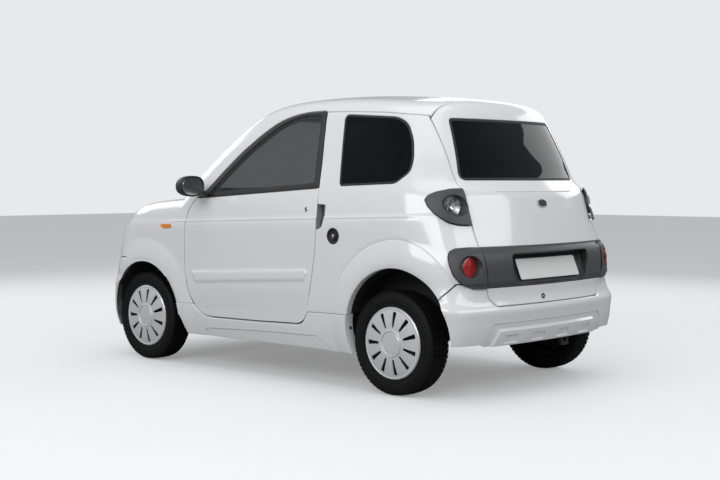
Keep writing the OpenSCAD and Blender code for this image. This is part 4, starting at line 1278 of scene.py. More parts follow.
def pocket_ring(t, grow, depth=0.0):
    """Part way from the rim (0) to the floor (1)."""
    q = offset(PLATE_POCKET, grow)
    x = rim_x + 3 + (pocket_floor(q[:, 1]) + depth - rim_x) * t
    return np.stack([x, q[:, 0], q[:, 1]], 1)


pocket_shape = loft([pocket_ring(0, 0.0), pocket_ring(0.08, -1.5), pocket_ring(0.5, -3), pocket_ring(0.9, -6),
                     pocket_ring(1.0, -14)], False, True)
pocket_back = loft([pocket_ring(0, 0.0), pocket_ring(0.5, 2.5, 3), pocket_ring(1.0, 0, 4)], False, True)
piece("tail_moulding", garnish_shape, grey_plastic_and_recess_shade, "tailgate", "dark_plastic", "plate_panel")
piece("plate_pocket", joined(pocket_shape, pocket_back), black_plastic, "tailgate", "dark_plastic", sharp=24)
print("moulding:", len(garnish_shape[1]), "triangles")

# %% The blank number plate


def plate_at(u, v, out):
    """A point on the leaning plate: across, up its face, and out of it."""
    lean = math.atan2(POCKET_LEAN, POCKET_RISE)
    x, z = -473 + 12 * math.sin(lean), POCKET_BOTTOM + 12 * math.cos(lean)
    return np.stack([x + v * math.sin(lean) - out * math.cos(lean), u,
                     z + v * math.cos(lean) + out * math.sin(lean)], -1)


PLATE = oblong(-260, 260, 0, 110, 11, 5)
plate_rings = [plate_at(q[:, 0], q[:, 1], o) for q, o in
               ((PLATE, 1.0), (PLATE, 4.4), (offset(PLATE, -0.8), 5.0), (offset(PLATE, -6.0), 5.0),
                (offset(PLATE, -7.0), 4.0))]
piece("number_plate", loft(plate_rings), plate_finish, "tailgate", "plate_white", "rear_plate", sharp=10)
print("plate: 520 x 110 mm, blank")

# %% [markdown]
# ## Wheels and tyres
#
# The wheel cover is a thin domed moulding with eleven tapered slots, a rolled rim and a raised ring round
# a plain centre. It is a flat sheet of triangles, cut round the slots and then lifted to a profile, which
# keeps every slot edge crisp. The tyre is turned from its section. Its tread is one pitch of blocks that
# Geometry Nodes repeats round the axle, because the pitch is the same all the way round.

# %% A flat sheet lifted to a turned profile
WHEEL_Y = 640.0
AXLE_Z = 266.5
FRONT_X, REAR_X = 1990.0, 0.0
SLOTS_ROUND = 11


def flat_sheet(outer, holes, height, thickness, extra=(), step=9.0, roll=1.2, rings=(0.5, 1.2, 2.0)):
    """A closed plate in its own plane (a, b), raised to height(a, b); the third number is the height."""
    loops = [(outer, True)] + [(h, False) for h in holes]
    points, chains, count = [], [], 0
    lines = [offset(loop, (-r if keep_inside else r)) for loop, keep_inside in loops
             for r in (0,) + tuple(rings)]
    for line in lines + list(extra):
        index = np.arange(len(line)) + count
        chains.append(np.stack([index, np.roll(index, -1)], 1))
        points.append(line)
        count += len(line)
    lo, hi = outer.min(0), outer.max(0)
    uv, faces = triangles(np.vstack(points), np.vstack(chains), (lo[0], hi[0], lo[1], hi[1]), step)
    middle = uv[faces].mean(1)
    keep = inside(outer, middle)
    for h in holes:
        keep &= ~inside(h, middle)
    uv, faces = compact(uv, faces[keep])
    flip = twice_area(uv, faces) < 0
    faces[flip] = faces[flip][:, ::-1]
    rim_edges = borders(faces)
    flat = np.column_stack([uv, np.zeros(len(uv))])
    h = height(uv)
    top = np.column_stack([uv, h - rolled(border_distance(flat, rim_edges, roll + 1), roll)])
    low = np.column_stack([uv, h - thickness])
    return closed_up(top, low, faces, rim_edges)


print("flat sheets ready")

# %% The wheel cover
COVER_PROFILE = [(0, 80), (50, 79.5), (54, 78.5), (56, 76), (58, 75), (60, 76.5), (62, 82), (65, 83), (68, 82),
                 (71, 77), (76, 78), (110, 76), (150, 71.5), (168, 68), (172, 67), (175, 69), (179, 70),
                 (184, 64)]


def slot_outline(angle):
    corners = [(82, -5.5, 2), (160, -12, 4), (160, 12, 4), (82, 5.5, 2)]
    c, s = math.cos(angle), math.sin(angle)
    return outline([(a * c - b * s, a * s + b * c, r) for a, b, r in corners], 3.0)


first_slot = math.radians(90 - 7)
slots = [slot_outline(first_slot + 2 * math.pi * i / SLOTS_ROUND) for i in range(SLOTS_ROUND)]


def cover_height(uv):
    r = np.hypot(uv[:, 0], uv[:, 1])
    profile = np.array(COVER_PROFILE, float)
    return np.interp(r, profile[:, 0], profile[:, 1])


COVER_R = COVER_PROFILE[-1][0]
cover_rings = [circle(0, 0, r, 7) for r in (54, 56, 58, 60, 62, 65, 68, 71, 170, 173, 177)]
cover = flat_sheet(circle(0, 0, COVER_R, 6), slots, cover_height, 7.0, cover_rings)


def on_axle(shape, x, hand):
    """Places a wheel part, drawn as (across, up, outwards), on the left or the right of an axle."""
    p, f = shape
    q = np.stack([x - p[:, 0], hand * (WHEEL_Y + p[:, 2]), AXLE_Z + p[:, 1]], 1)
    return q, (f if hand > 0 else f[:, ::-1])


print("slots:", len(slots))

# %% The steel wheel behind the cover, and the tyre's section


def section_round(profile, count):
    """Turns a closed (radius, outwards) section round the axle, as (across, up, outwards)."""
    a = around(count)
    rings = [np.stack([r * np.cos(a), r * np.sin(a), np.full(count, h)], 1) for r, h in profile]
    return loft(rings + [rings[0]], False, False)


RIM = soften([(17, 5), (52, 5), (58, 20), (100, 34), (150, 26), (156, 12), (158, -50), (172, -58), (176, -66),
              (181, -66), (180, -60), (165, -54), (164, 54), (180, 60), (180, 63), (165, 60), (160, 40),
              (152, 34), (100, 42), (52, 28), (17, 26), (17, 5)], 2.0)[:-1]
TREAD_R = 261.0
CARCASS = soften([(165, -56), (183, -60), (190, -66), (204, -71), (218, -72.4), (232, -71.5), (246, -68),
                  (254, -63),
                  (258, -56), (TREAD_R - 1, -46), (TREAD_R, -20), (TREAD_R, 20), (TREAD_R - 1, 46), (258, 56),
                  (254, 63), (246, 68), (232, 71.5), (218, 72.4), (216, 73.2), (213, 73.2), (211, 72.3),
                  (204, 71),
                  (195, 69.5), (193, 70.6), (190, 70.6), (188, 66), (185, 63), (165, 56), (164, 0), (165, -56)],
                 1.2)[:-1]
rim_shape = section_round(RIM, 72)
tyre_shape = section_round(CARCASS, 120)
print("tyre section:", len(CARCASS), "points")

# %% Geometry Nodes: one pitch, repeated round the axle
round_tree = bpy.data.node_groups.new("repeat round the axle", "GeometryNodeTree")
socket(round_tree, "Pitch", "INPUT", "NodeSocketGeometry")
sock_count = socket(round_tree, "Count", "INPUT", "NodeSocketInt", 60)
sock_centre = socket(round_tree, "Centre", "INPUT", "NodeSocketVector", (0, 0, 0))
sock_finish = socket(round_tree, "Finish", "INPUT", "NodeSocketMaterial")
socket(round_tree, "Ring", "OUTPUT", "NodeSocketGeometry")
given = put(round_tree, "NodeGroupInput").outputs
dots = put(round_tree, "GeometryNodePoints", {"Count": given["Count"]})
number = put(round_tree, "GeometryNodeInputIndex").outputs[0]
angle = maths(round_tree, "MULTIPLY", number, maths(round_tree, "DIVIDE", 2 * math.pi, given["Count"]))
turn_by = put(round_tree, "ShaderNodeCombineXYZ", {"Y": angle}).outputs[0]
copies = put(round_tree, "GeometryNodeInstanceOnPoints", {"Points": dots.outputs[0], "Instance": given["Pitch"],
                                                          "Rotation": turn_by})
moved = put(round_tree, "GeometryNodeTransform", {"Geometry": copies.outputs[0],
                                                  "Translation": given["Centre"]})
real = put(round_tree, "GeometryNodeRealizeInstances", {"Geometry": moved.outputs[0]})
coat = put(round_tree, "GeometryNodeSetMaterial", {"Geometry": real.outputs[0], "Material": given["Finish"]})
put(round_tree, "NodeGroupOutput", {"Ring": coat.outputs[0]})
print("tree:", round_tree.name)


def repeat(name, pitch, tree, settings, body):
    """Runs a tree on one pitch and keeps the result as a plain mesh."""
    points, faces = pitch
    mesh = new_mesh(name + " pitch", points / 1000, faces)
    source = new_object(name + " pitch", mesh)
    modifier = source.modifiers.new("repeat", "NODES")
    modifier.node_group = tree
    for sock, value in settings:
        modifier[sock.identifier] = value
    bpy.context.view_layer.update()
    evaluated = source.evaluated_get(bpy.context.evaluated_depsgraph_get())
    result = bpy.data.meshes.new_from_object(evaluated)
    result.name = name
    source.modifiers.remove(modifier)
    bpy.data.objects.remove(source)
    bpy.data.meshes.remove(mesh)
    fitted_out(name, result, body, 30.0)


# %% One pitch of tread blocks


def block(corners, low, high, draft=0.8):
    """A tapered tread block on the crown: corners are (round, across) in millimetres."""
    c = np.asarray(corners, float)
    inner = c.mean(0) + (c - c.mean(0)) * 0.92
    rings = []
    for q, r in ((c, low), (c, high - draft), (inner, high)):
        crown = r - 4.5 * (np.abs(q[:, 1]) / 62) ** 3
        rings.append(np.stack([crown * np.sin(q[:, 0] / 262), q[:, 1], crown * np.cos(q[:, 0] / 262)], 1))
    return loft(rings)


PITCHES = 60
GROOVE = 4.0
pitch_length = 2 * math.pi * 266 / PITCHES
tread = []
for low_edge, high_edge, skew in ((-62, -42, 7), (-37, -16, -6), (-11, 11, 5), (16, 37, -6), (42, 62, 7)):
    half = (pitch_length - GROOVE) / 2
    tread.append(block([(-half - skew / 2, low_edge), (half - skew / 2, low_edge), (half + skew / 2, high_edge),
                        (-half + skew / 2, high_edge)], 255, 266.2))
pitch = joined(*tread)
for body, x, hand in (("front_left_wheel", FRONT_X, 1), ("front_right_wheel", FRONT_X, -1),
                      ("rear_left_wheel", REAR_X, 1), ("rear_right_wheel", REAR_X, -1)):
    corner = body[:-6]
    place = ((x - AXLE_TO_MIDDLE) / 1000, hand * WHEEL_Y / 1000, AXLE_Z / 1000)
    piece(corner + "_tyre_body", on_axle(tyre_shape, x, hand), tyre_rubber, body, "tyre_rubber",
          corner + "_tyre")
    repeat(corner + "_tread", pitch, round_tree, [(sock_count, PITCHES), (sock_centre, place),
                                                  (sock_finish, tyre_rubber)], body)
    piece(corner + "_rim", on_axle(rim_shape, x, hand), steel, body, "wheel_silver", corner + "_wheel")
    piece(corner + "_wheel_cover", on_axle(cover, x, hand), cover_paint, body, "wheel_silver")
print("tread:", PITCHES, "pitches of", len(tread), "blocks")

# %% [markdown]
# ## Small fittings
#
# A door lock, a filler cap, a lamp on the wing: each is a small turned or cut piece that sits on the skin.
# Their places are looked up on the skin itself, so they stay flush wherever the formula puts it.

# %% Fittings on the skin


def on_skin(view, a, b, hand=1):
    """The point and outward direction of the skin under a place in a view."""
    p, _ = wrapped(view, np.array([(a, b)], float))
    n = normals(p)
    return p[0] * (1, hand, 1), n[0] * (1, hand, 1)


def fitted(view, a, b, profile, hand=1, count=36):
    """A turned piece that stands square on the skin."""
    p, n = on_skin(view, a, b, hand)
    return turned(soften(profile, 0.6), p, n, count)


CAP_SHELL = [(0, -34), (40, -34), (40.5, -6), (41.4, 0.5), (41, 2.4), (37.5, 2.8), (34, 0.5), (31, -7),
             (24, -8.5), (22.5, -2.5), (20, -1.2), (13, -1.6), (11, -3), (0, -3)]
piece("filler_cap", fitted("side", *CAP_AT, CAP_SHELL), black_plastic, "root", "dark_plastic")
CAP_LOCK = [(0, -4), (9, -4), (9, 0.5), (7.5, 1.6), (3, 1.6), (2.5, 0.4), (0, 0.4)]
piece("filler_cap_lock", fitted("side", *CAP_AT, CAP_LOCK, count=28), bright_metal, "root", "dark_plastic")
DOOR_LOCK_AT, GATE_LOCK_AT = (586, 931), (85, 495)
LOCK_RING = [(0, -6), (13.5, -6), (14, 1.2), (12.5, 2.2), (10, 2.2), (9, 1.0), (0, 0.9)]
LOCK_PLUG = [(0, 0), (6.5, 0), (6.5, 1.7), (2, 1.9), (1.5, 0.8), (0, 0.8)]
for hand, s, _ in HANDS:
    body = "door_" + hand
    piece(hand + "_door_lock", fitted("side", *DOOR_LOCK_AT, LOCK_RING, s), bright_metal, body, "dark_plastic")
    piece(hand + "_door_lock_plug", fitted("side", *DOOR_LOCK_AT, LOCK_PLUG, s), black_plastic, body,
          "dark_plastic")
GATE_LOCK = [(0, -6), (14, -6), (14.5, 2), (12.5, 4.2), (8.5, 4.4), (7, 1.5), (0, 1.2)]
GATE_BARREL = [(0, 0), (6.5, 0), (6.5, 2.6), (2, 3), (1.5, 1.8), (0, 1.8)]
piece("tailgate_lock", fitted("tail", *GATE_LOCK_AT, GATE_LOCK), black_plastic, "tailgate", "dark_plastic")
piece("tailgate_lock_barrel", fitted("tail", *GATE_LOCK_AT, GATE_BARREL), bright_metal, "tailgate",
      "dark_plastic")
print("locks and filler cap fitted")

# %% The handle recesses, the repeaters and the blank medallion
# The handle recesses are body-coloured on the car. Here they are dark grey plastic, which is painted shade for
# the deep scoop in shadow.
recess = sheet(FLANK, [keep_in("side", HANDLE, 1.5, rings=()), keep_out("side", DOOR, GAP, rings=())],
               (100, 300, 800, 980), 3.0, roll=0, step=7,
               lift=lambda p: -4 - 20 * ease((p[:, 0] - 449) / 46) - 13 * ease((p[:, 0] - 486) / 16))
REPEATER = ring_of([(1814, 819, 8), (1790, 829, 10), (1705, 828, 8), (1702, 806, 8), (1775, 800, 14)], 4)
repeater = sheet(FLANK, [keep_in("side", REPEATER)], (1380, 1640, 780, 850), 6.0, lift=3.0, roll=2.5, step=8)
piece("painted_shade_handle_recesses", pair(recess), grey_plastic_and_recess_shade, "root", "dark_plastic")
piece("side_repeaters", pair(repeater), amber, "root", "lamp_housing")


def oval(height, a, b):
    """A ring on the tailgate skin, round the medallion's centre."""
    t = around(56)
    p, n = on_skin("tail", 0, 966)
    up_way = np.cross(n, (0, 1.0, 0))
    return p + np.outer(a * np.cos(t), (0, 1.0, 0)) + np.outer(b * np.sin(t), up_way) + height * n


piece("medallion", loft([oval(-2, 42, 21), oval(2.6, 42, 21), oval(3.4, 41, 20.2), oval(3.6, 34, 15)]),
      black_plastic, "tailgate", "dark_plastic")
piece("medallion_ring", loft([oval(3.2, 43, 22), oval(4.6, 42.6, 21.6), oval(5, 41, 20), oval(4.4, 39, 18),
                              oval(3.4, 38.6, 17.6), oval(3.2, 43, 22)], False, False), bright_metal,
      "tailgate", "dark_plastic")
print("medallion: 86 x 44 mm, blank")

# %% The push-in fastener on the front of each rear arch
stud = turned([(0, 3), (7, 2.6), (9, 1.4), (9.5, 0), (0, -1)], (295, 698, 322), (-1, 0, 0), 20)
piece("arch_fasteners", pair(stud), black_plastic, "root", "dark_plastic")
print("fasteners: 2")

# %% Door mirrors
MIRROR_AT = np.array([1405.0, 853.0, 1052.0])


def egg(x, a, b):
    """A soft oblong section across the mirror."""
    t = around(40)
    y, z = squarish(np.cos(t), a, 2 / 2.6), squarish(np.sin(t), b, 2 / 2.6)
    return np.stack([np.full(len(t), x), y, z], 1) + MIRROR_AT


SHELL_RINGS = [(-30, 50, 36), (-31, 71, 50), (-38, 74, 53), (-40.5, 78, 56), (-38, 80.5, 58), (-28, 82, 59),
               (-8, 81.5, 58.5), (14, 77, 55), (34, 68, 48), (50, 56, 39), (62, 41, 29), (70, 26, 18),
               (74, 12, 9)]
GLASS_RINGS = [(-30, 69, 48.5), (-34, 70, 49.5), (-35, 69, 48.5), (-35.6, 40, 30)]
shell, silvered = (loft([egg(*ring) for ring in rings]) for rings in (SHELL_RINGS, GLASS_RINGS))
foot_rings = []
for t in np.linspace(0, 1, 9):
    middle = MIRROR_AT + np.array([10 - 16 * t, -58 - 78 * t, -14 - 26 * t - 8 * math.sin(math.pi * t)])
    a, b = 25 - 2 * t + 6 * t ** 3, 14.5 + 2.0 * t ** 2
    q = around(28)
    foot_rings.append(middle + np.outer(a * np.cos(q), (1, 0, 0)) + np.outer(b * np.sin(q), (0, 0.35, 0.94)))
foot = loft(foot_rings)
for hand, _, turn in HANDS:
    piece(hand + "_mirror_shell", turn(joined(shell, foot)), black_plastic, "door_" + hand, "dark_plastic",
          "mirror_" + hand)
    piece(hand + "_mirror_glass", turn(silvered), bright_metal, "door_" + hand, "window_glass")
print("mirrors stand", round(float(shell[0][:, 1].max()) - 745), "mm out from the doors")

# %% Headlamps, grille and fog lamps
HEADLAMP_AREA = (200, 960, 650, 900)
lens_shape = sheet(NOSE_FAN, [keep_in("nose", HEADLAMP, -1)], HEADLAMP_AREA, 4.0, lift=-1, roll=2.0, step=14)
bowl_shape = sheet(NOSE_FAN, [keep_in("nose", HEADLAMP, -3, rings=())], HEADLAMP_AREA, 4.0, roll=0, step=12,
                   lift=lambda p: -8 - 46 * ease(depth_inside(offset(HEADLAMP, -3), p[:, (1, 2)]) / 26))
piece("headlamp_lenses", pair(lens_shape), clear_lens, "root", "lamp_housing", "headlamps")
piece("headlamp_bowls", pair(bowl_shape), grey_plastic_and_recess_shade, "root", "lamp_housing")


def forward_lamp(a, b, r, back, hand):
    """A reflector and its bulb, set back from the skin under a place in the nose view."""
    p = on_skin("nose", a, b, hand)[0] - (back, 0, 0)
    bowl = [(0, -20), (10, -20), (r - 8, -8), (r - 3, 3), (r, 5), (r, 0), (r - 6, -12), (0, -24)]
    bead = [(0, -19), (6, -19), (7, -12), (9, -6), (7, 0), (0, 3)]
    return joined(turned(soften(bowl, 1.5), p, (1, 0, 0), 40), turned(bead, p, (1, 0, 0), 24))


FRONT_LAMPS = ((560, 800, 50, 62), (455, 765, 34, 46), (520, 340, 44, 14))
lamps = [forward_lamp(*lamp, s) for s in (1, -1) for lamp in FRONT_LAMPS]
piece("front_reflectors", joined(*lamps), bright_metal, "root", "lamp_housing")


def slat(half, low, high, window, depth):
    """A bar across a grille opening."""
    bar = keep_in("nose", oblong(-half, half, low, high, 3))
    return sheet(NOSE_FAN, [bar], window, depth, lift=-8, roll=3, step=40)


slats = [slat(334, z, z + 15, (-360, 360, z - 10, z + 30), 16) for z in (276, 312, 348, 384)]
slats.append(slat(254, 678, 692, (-300, 300, 660, 710), 14))
backing = [sheet(NOSE_FAN, [keep_in("nose", loop, 6)], (-700, 700, 230, 760), 3, lift=-26, roll=0, step=40)
           for loop in (GRILLE_TOP, GRILLE_LOW, FOG[0], FOG[1])]
piece("grille_slats", joined(*(slats + backing)), black_plastic, "root", "dark_plastic", "grille")
print("front:", len(slats), "slats")

# %% [markdown]
# ## The cabin
#
# Two seats, a dashboard and a steering wheel show through the glass and when a door opens. A seat pad is
# foam under cloth, so each pad is blown up by a short cloth simulation from a slightly smaller block,
# and its sewn channels are pressed in afterwards. The driver's and the passenger's pads are the same.

# %% The woven cloth group and the seat finish
weave, given, where = start_group("woven cloth", Yarn=(0.05, 0.05, 0.06, 1), Fleck=(0.12, 0.12, 0.13, 1),
                                  Threads=520.0)
scaled = put(weave, "ShaderNodeVectorMath", {0: where, "Scale": given["Threads"]}, operation="SCALE").outputs[0]
across, along = (put(weave, "ShaderNodeTexWave", {"Vector": scaled, "Scale": 1.0},
                     bands_direction=way).outputs["Fac"]
                 for way in ("Y", "DIAGONAL"))
crossing = maths(weave, "MULTIPLY", across, along)
flecks = put(weave, "ShaderNodeTexNoise", {"Vector": where, "Scale": 240.0, "Detail": 3.0}).outputs["Fac"]
amount = put(weave, "ShaderNodeMapRange", {"Value": flecks, "From Min": 0.5, "From Max": 0.72}).outputs[0]
end_group(weave, mix_colours(weave, amount, given["Yarn"], given["Fleck"]),
          maths(weave, "MULTIPLY_ADD", crossing, 0.1, 0.8), crossing)
seat_cloth = finish("seat cloth", weave, {"Yarn": rgb(0.035, 0.036, 0.042), "Fleck": rgb(0.13, 0.13, 0.14)},
                    0.4, 0.0008, Sheen_Weight=0.3)

# %% A pad: a crowned block, blown up as cloth over foam


def pad_block(length, width, thick, side_bolster):
    """A rounded block: x along its length, y across, z out of its face, in millimetres."""
    rings = []
    for t in np.linspace(0, 1, 15):
        x = (t - 0.5) * length
        end = 1 - max(abs(t - 0.5) * 2 - 0.8, 0) ** 2 * 5
        a = around(48)
        y = squarish(np.cos(a), width / 2 * end ** 0.5, 0.45)
        z = squarish(np.sin(a), thick / 2 * end, 0.5)
        z = z + np.where(np.sin(a) > 0, side_bolster * ease((np.abs(y) - width * 0.30) / (width * 0.14)), 0)
        rings.append(np.stack([np.full(len(a), x), y, z], 1))
    return loft(rings)


def blown(shape, limit, voxel=9.0):
    """Remeshes a block, runs cloth with pressure, and keeps it within a limit of where it started."""
    points, faces = shape
    pad = new_object("pad", new_mesh("pad", points / 1000, faces))
    bpy.context.view_layer.objects.active = pad
    remesh = pad.modifiers.new("even", "REMESH")
    remesh.mode = "VOXEL"
    remesh.voxel_size = voxel / 1000
    bpy.ops.object.modifier_apply(modifier=remesh.name)
    start = np.array([tuple(v.co) for v in pad.data.vertices])
    cloth = pad.modifiers.new("cloth", "CLOTH")
    cloth.settings.use_pressure = True
    cloth.settings.uniform_pressure_force = 4.0
    cloth.settings.effector_weights.gravity = 0.0
    cloth.settings.quality = 4
    cloth.point_cache.frame_start, cloth.point_cache.frame_end = 1, 20
    for frame_number in range(1, 21):
        bpy.context.scene.frame_set(frame_number)
    grown = pad.evaluated_get(bpy.context.evaluated_depsgraph_get()).to_mesh()
    end = np.array([tuple(v.co) for v in grown.vertices])
    pad.modifiers.remove(cloth)
    bpy.context.scene.frame_set(1)
    move = end - start
    size = np.linalg.norm(move, axis=1)[:, None]
    out = start + move * np.minimum(1, limit / 1000 / np.maximum(size, 1e-9))
    tris = []
    for q in pad.data.polygons:
        v = list(q.vertices)
        tris += [(v[0], v[k], v[k + 1]) for k in range(1, len(v) - 1)]
    bpy.data.objects.remove(pad)
    return out * 1000, np.array(tris)


def channels(shape, lines, depth, width=9.0):
    """Presses sewn channels into the upper side, along x or y."""
    p, f = shape
    press = np.zeros(len(p))
    for axis, at in lines:
        press = np.maximum(press, 1 - ease(np.abs(p[:, axis] - at) / width))
    return p - np.stack([0 * press, 0 * press, depth * press * (p[:, 2] > 0)], 1), f


base_pad = channels(blown(pad_block(440, 420, 80, 16), 24), [(1, -118), (1, 118), (0, -60), (0, 70)], 7)
back_pad = channels(blown(pad_block(560, 410, 66, 16), 24), [(1, -112), (1, 112), (0, -120), (0, 0), (0, 120)],
                    6)
head_pad = channels(blown(pad_block(120, 240, 56, 0), 16, 8.0), [(0, 0)], 2)
print("pads:", len(base_pad[1]), len(back_pad[1]), len(head_pad[1]), "triangles")

# %% Seats: pads, shells, head restraints and rails


def tilted(shape, degrees, place):
    """Turns a piece about the cross axis, then moves it: positive lifts its front end."""
    p, f = shape
    a = math.radians(degrees)
    x, z = p[:, 0] * math.cos(a) - p[:, 2] * math.sin(a), p[:, 0] * math.sin(a) + p[:, 2] * math.cos(a)
    return np.stack([x, p[:, 1], z], 1) + np.array(place, float), f


def shell_block(length, width, thick, r=0.4):
    """A slim block with soft edges: the hard shell behind a pad, or a rail."""
    rings = []
    for t in np.linspace(0, 1, 11):
        end = (1 - (2 * t - 1) ** 8) ** 0.5 if 0 < t < 1 else 0.0
        a = around(40)
        y = squarish(np.cos(a), width / 2 * (0.86 + 0.14 * end), r)
        z = squarish(np.sin(a), thick / 2 * (0.5 + 0.5 * end), r)
        rings.append(np.stack([np.full(len(a), (t - 0.5) * length), y, z], 1))
    return loft(rings)


SEAT_Y = 270
for hand, s, _ in HANDS:
    y = SEAT_Y * s
    base = tilted(base_pad, 4, (798, y, 412))
    back = tilted(mirrored(back_pad), 106, (462, y, 742))
    head = tilted(mirrored(head_pad), 100, (368, y, 1052))
    for label, shape in (("cushion", base), ("backrest", back), ("head_restraint", head)):
        thing = piece(f"{hand}_seat_{label}", shape, seat_cloth, "root", "seat_cloth",
                      *(["seat_" + hand] if label == "cushion" else []), sharp=180)
    shell_base = tilted(shell_block(440, 400, 70), 3, (790, y, 345))
    shell_back = tilted(shell_block(560, 390, 34), 106, (432, y, 730))
    rails = [tilted(shell_block(420, 26, 60, 0.25), 0, (780, y + d, 287)) for d in (-150, 150)]
    posts = [turned([(0, 0), (6, 0), (6, 90), (0, 90)], (404, y + d, 960), (-0.22, 0, 1), 16)
             for d in (-50, 50)]
    piece(f"{hand}_seat_shell", joined(shell_base, shell_back, *rails), cabin_plastic, "root", "cabin_plastic")
    piece(f"{hand}_seat_posts", joined(*posts), bright_metal, "root", "chassis_steel")
print("two seats")

# %% Dashboard
dash_lines = [(1602, 690), (1602, 985), (1560, 990), (1480, 968), (1420, 940), (1385, 905), (1368, 868),
              (1372, 820), (1395, 770), (1440, 712), (1500, 690)]
section = resample(np.array(dash_lines, float), 16)
DASH_HALF = 598
dash_rings = []
for y in np.linspace(-DASH_HALF, DASH_HALF, 41):
    q = section.copy()
    brow = math.exp(-((y - SEAT_Y) / 150) ** 4)
    q[:, 1] += np.where((q[:, 0] < 1470) & (q[:, 1] > 880), 22 * brow, 0)
    q[:, 0] += np.where(q[:, 0] < 1470, 26 * (abs(y) / DASH_HALF) ** 4 + 12 * (1 - brow), 0)
    end = 1 - 0.04 * max(abs(y) / DASH_HALF - 0.97, 0) / 0.03
    q = (q - q.mean(0)) * end + q.mean(0)
    dash_rings.append(np.stack([q[:, 0], np.full(len(q), y), q[:, 1]], 1))
piece("dashboard_moulding", loft(dash_rings), cabin_plastic, "root", "cabin_plastic", "dashboard")
print("dashboard rings:", len(dash_rings))

# %% Steering wheel
COLUMN = np.array([1362.0, SEAT_Y, 800.0])
lean = math.radians(66)
AHEAD, UPWARD = np.array([-math.sin(lean), 0, math.cos(lean)]), np.array([math.cos(lean), 0, math.sin(lean)])


def on_column(p):
    p = np.asarray(p, float)
    return COLUMN + np.outer(p[:, 0], UPWARD) + np.outer(p[:, 1], (0, 1.0, 0)) + np.outer(p[:, 2], AHEAD)


GRIP_R, GRIP_THICK, GRIP_AT = 171, 13.6, 96
grip_turn = around(96)
grip_rings = []
for b in around(20):
    r = GRIP_R + GRIP_THICK * math.cos(b)
    grip_rings.append(on_column(np.stack([r * np.cos(grip_turn), r * np.sin(grip_turn),
                                          np.full(len(grip_turn), GRIP_AT + GRIP_THICK * math.sin(b))], 1)))
grip = loft(grip_rings + [grip_rings[0]], False, False)
hub_profile = [(0, 20), (28, 20), (29, 60), (52, 66), (60, 74), (60, 84), (52, 92), (0, 95)]
hub = turned(soften(hub_profile, 5, 5), COLUMN, AHEAD, 56)
spokes = []
for a in (0, 120, 240):
    t = math.radians(a)
    rings = []
    for r, half, thick in ((40, 30, 8), (70, 22, 7), (110, 15, 6), (150, 15, 6), (168, 20, 5)):
        q = around(20)
        b, h = squarish(np.cos(q), half, 0.6), 84 + r * 0.05 + squarish(np.sin(q), thick, 0.8)
        rings.append(on_column(np.stack([r * math.cos(t) - b * math.sin(t), r * math.sin(t) + b * math.cos(t),
                                         h], 1)))
    spokes.append(loft(rings))
piece("steering_wheel_moulding", joined(grip, hub, *spokes), cabin_plastic, "steering_wheel", "cabin_plastic",
      "steering_wheel")
print("steering wheel: 370 mm")

# %% Finishes for the machinery that stays as the frame made it
for node, material in (("floor_pan", steel), ("wheel_houses", liner_plastic), ("engine", cast_metal),
                       ("front_suspension", steel), ("knuckle_left", cast_metal), ("knuckle_right", cast_metal),
                       ("rear_axle", steel)):
    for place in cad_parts[node].material_slots:
        place.material = material
print("machinery finished")

# %% [markdown]
# ## Floor, light and camera

# %% The stage
floor_mesh = bpy.data.meshes.new("floor")
floor_mesh.from_pydata([(-30, -30, 0), (30, -30, 0), (30, 30, 0), (-30, 30, 0)], [], [(0, 1, 2, 3)])
floor = new_object("floor", floor_mesh)
floor_finish = bpy.data.materials.new("pale studio floor")
floor_finish.use_nodes = True
floor_tree = floor_finish.node_tree
floor_shader = floor_tree.nodes["Principled BSDF"]
looked_at = put(floor_tree, "ShaderNodeLightPath").outputs["Is Camera Ray"]
for name, seen_value, other_value in (("Base Color", 0.62, 0.24), ("Emission Color", 0.26, 0.0)):
    shade = put(floor_tree, "ShaderNodeMapRange", {"Value": looked_at, "To Min": other_value,
                                                   "To Max": seen_value})
    floor_tree.links.new(shade.outputs[0], floor_shader.inputs[name])
floor_shader.inputs["Emission Strength"].default_value = 1.0
floor_shader.inputs["Roughness"].default_value = 0.85
floor_mesh.materials.append(floor_finish)

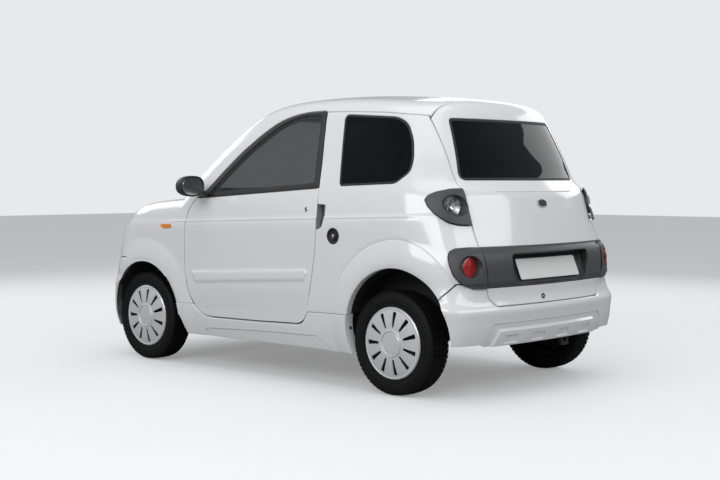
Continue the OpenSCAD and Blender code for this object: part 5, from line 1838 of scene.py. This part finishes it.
world = bpy.data.worlds.new("studio")
bpy.context.scene.world = world
world.use_nodes = True
sky = world.node_tree
fill = sky.nodes["Background"]
fill.inputs["Color"].default_value = rgb(0.88, 0.93, 1.0)
fill.inputs["Strength"].default_value = 0.38
wall = put(sky, "ShaderNodeBackground", {"Color": rgb(0.80, 0.82, 0.84), "Strength": 1.0})
ray = put(sky, "ShaderNodeLightPath")
seen = maths(sky, "MAXIMUM", ray.outputs["Is Camera Ray"], ray.outputs["Is Transmission Ray"])
either = put(sky, "ShaderNodeMixShader", {0: seen, 1: fill.outputs[0], 2: wall.outputs[0]})
sky.links.new(either.outputs[0], sky.nodes["World Output"].inputs["Surface"])


def soft_light(name, place, target, size, power):
    light = bpy.data.lights.new(name, "AREA")
    light.shape = "RECTANGLE"
    light.size, light.size_y = size
    light.energy = power
    lamp = new_object(name, light)
    lamp.location = place
    lamp.rotation_euler = (Vector(target) - Vector(place)).to_track_quat("-Z", "Y").to_euler()


soft_light("overhead", (-1.0, 1.0, 5.0), (0, 0, 0.6), (5, 5), 66)
soft_light("left side", (-1.5, 6.5, 3.6), (0, 0, 0.8), (8, 2.4), 226)
soft_light("behind", (-6.5, -1.0, 3.4), (0, 0, 0.8), (6, 2.2), 104)
soft_light("ahead", (6.5, 0.5, 3.6), (0, 0, 0.8), (6, 2.2), 120)
soft_light("right side", (0.5, -6.5, 3.6), (0, 0, 0.8), (8, 2.4), 120)
print("stage ready")

# %% The camera
camera_data = bpy.data.cameras.new("camera")
camera_data.lens = 63.69
camera_data.sensor_width = 36.0
camera = new_object("camera", camera_data)
camera.location = (-5.2055, 5.4806, 1.0801)
yaw, pitch = -0.8224, -0.0461
aim = Vector((math.cos(yaw) * math.cos(pitch), math.sin(yaw) * math.cos(pitch), math.sin(pitch)))
camera.rotation_euler = aim.to_track_quat("-Z", "Y").to_euler()
bpy.context.scene.camera = camera
bpy.context.scene.view_settings.view_transform = "Standard"
print("camera looks along", [round(v, 3) for v in aim])

# %% Sizes and the end
print("new triangles:", total_triangles)
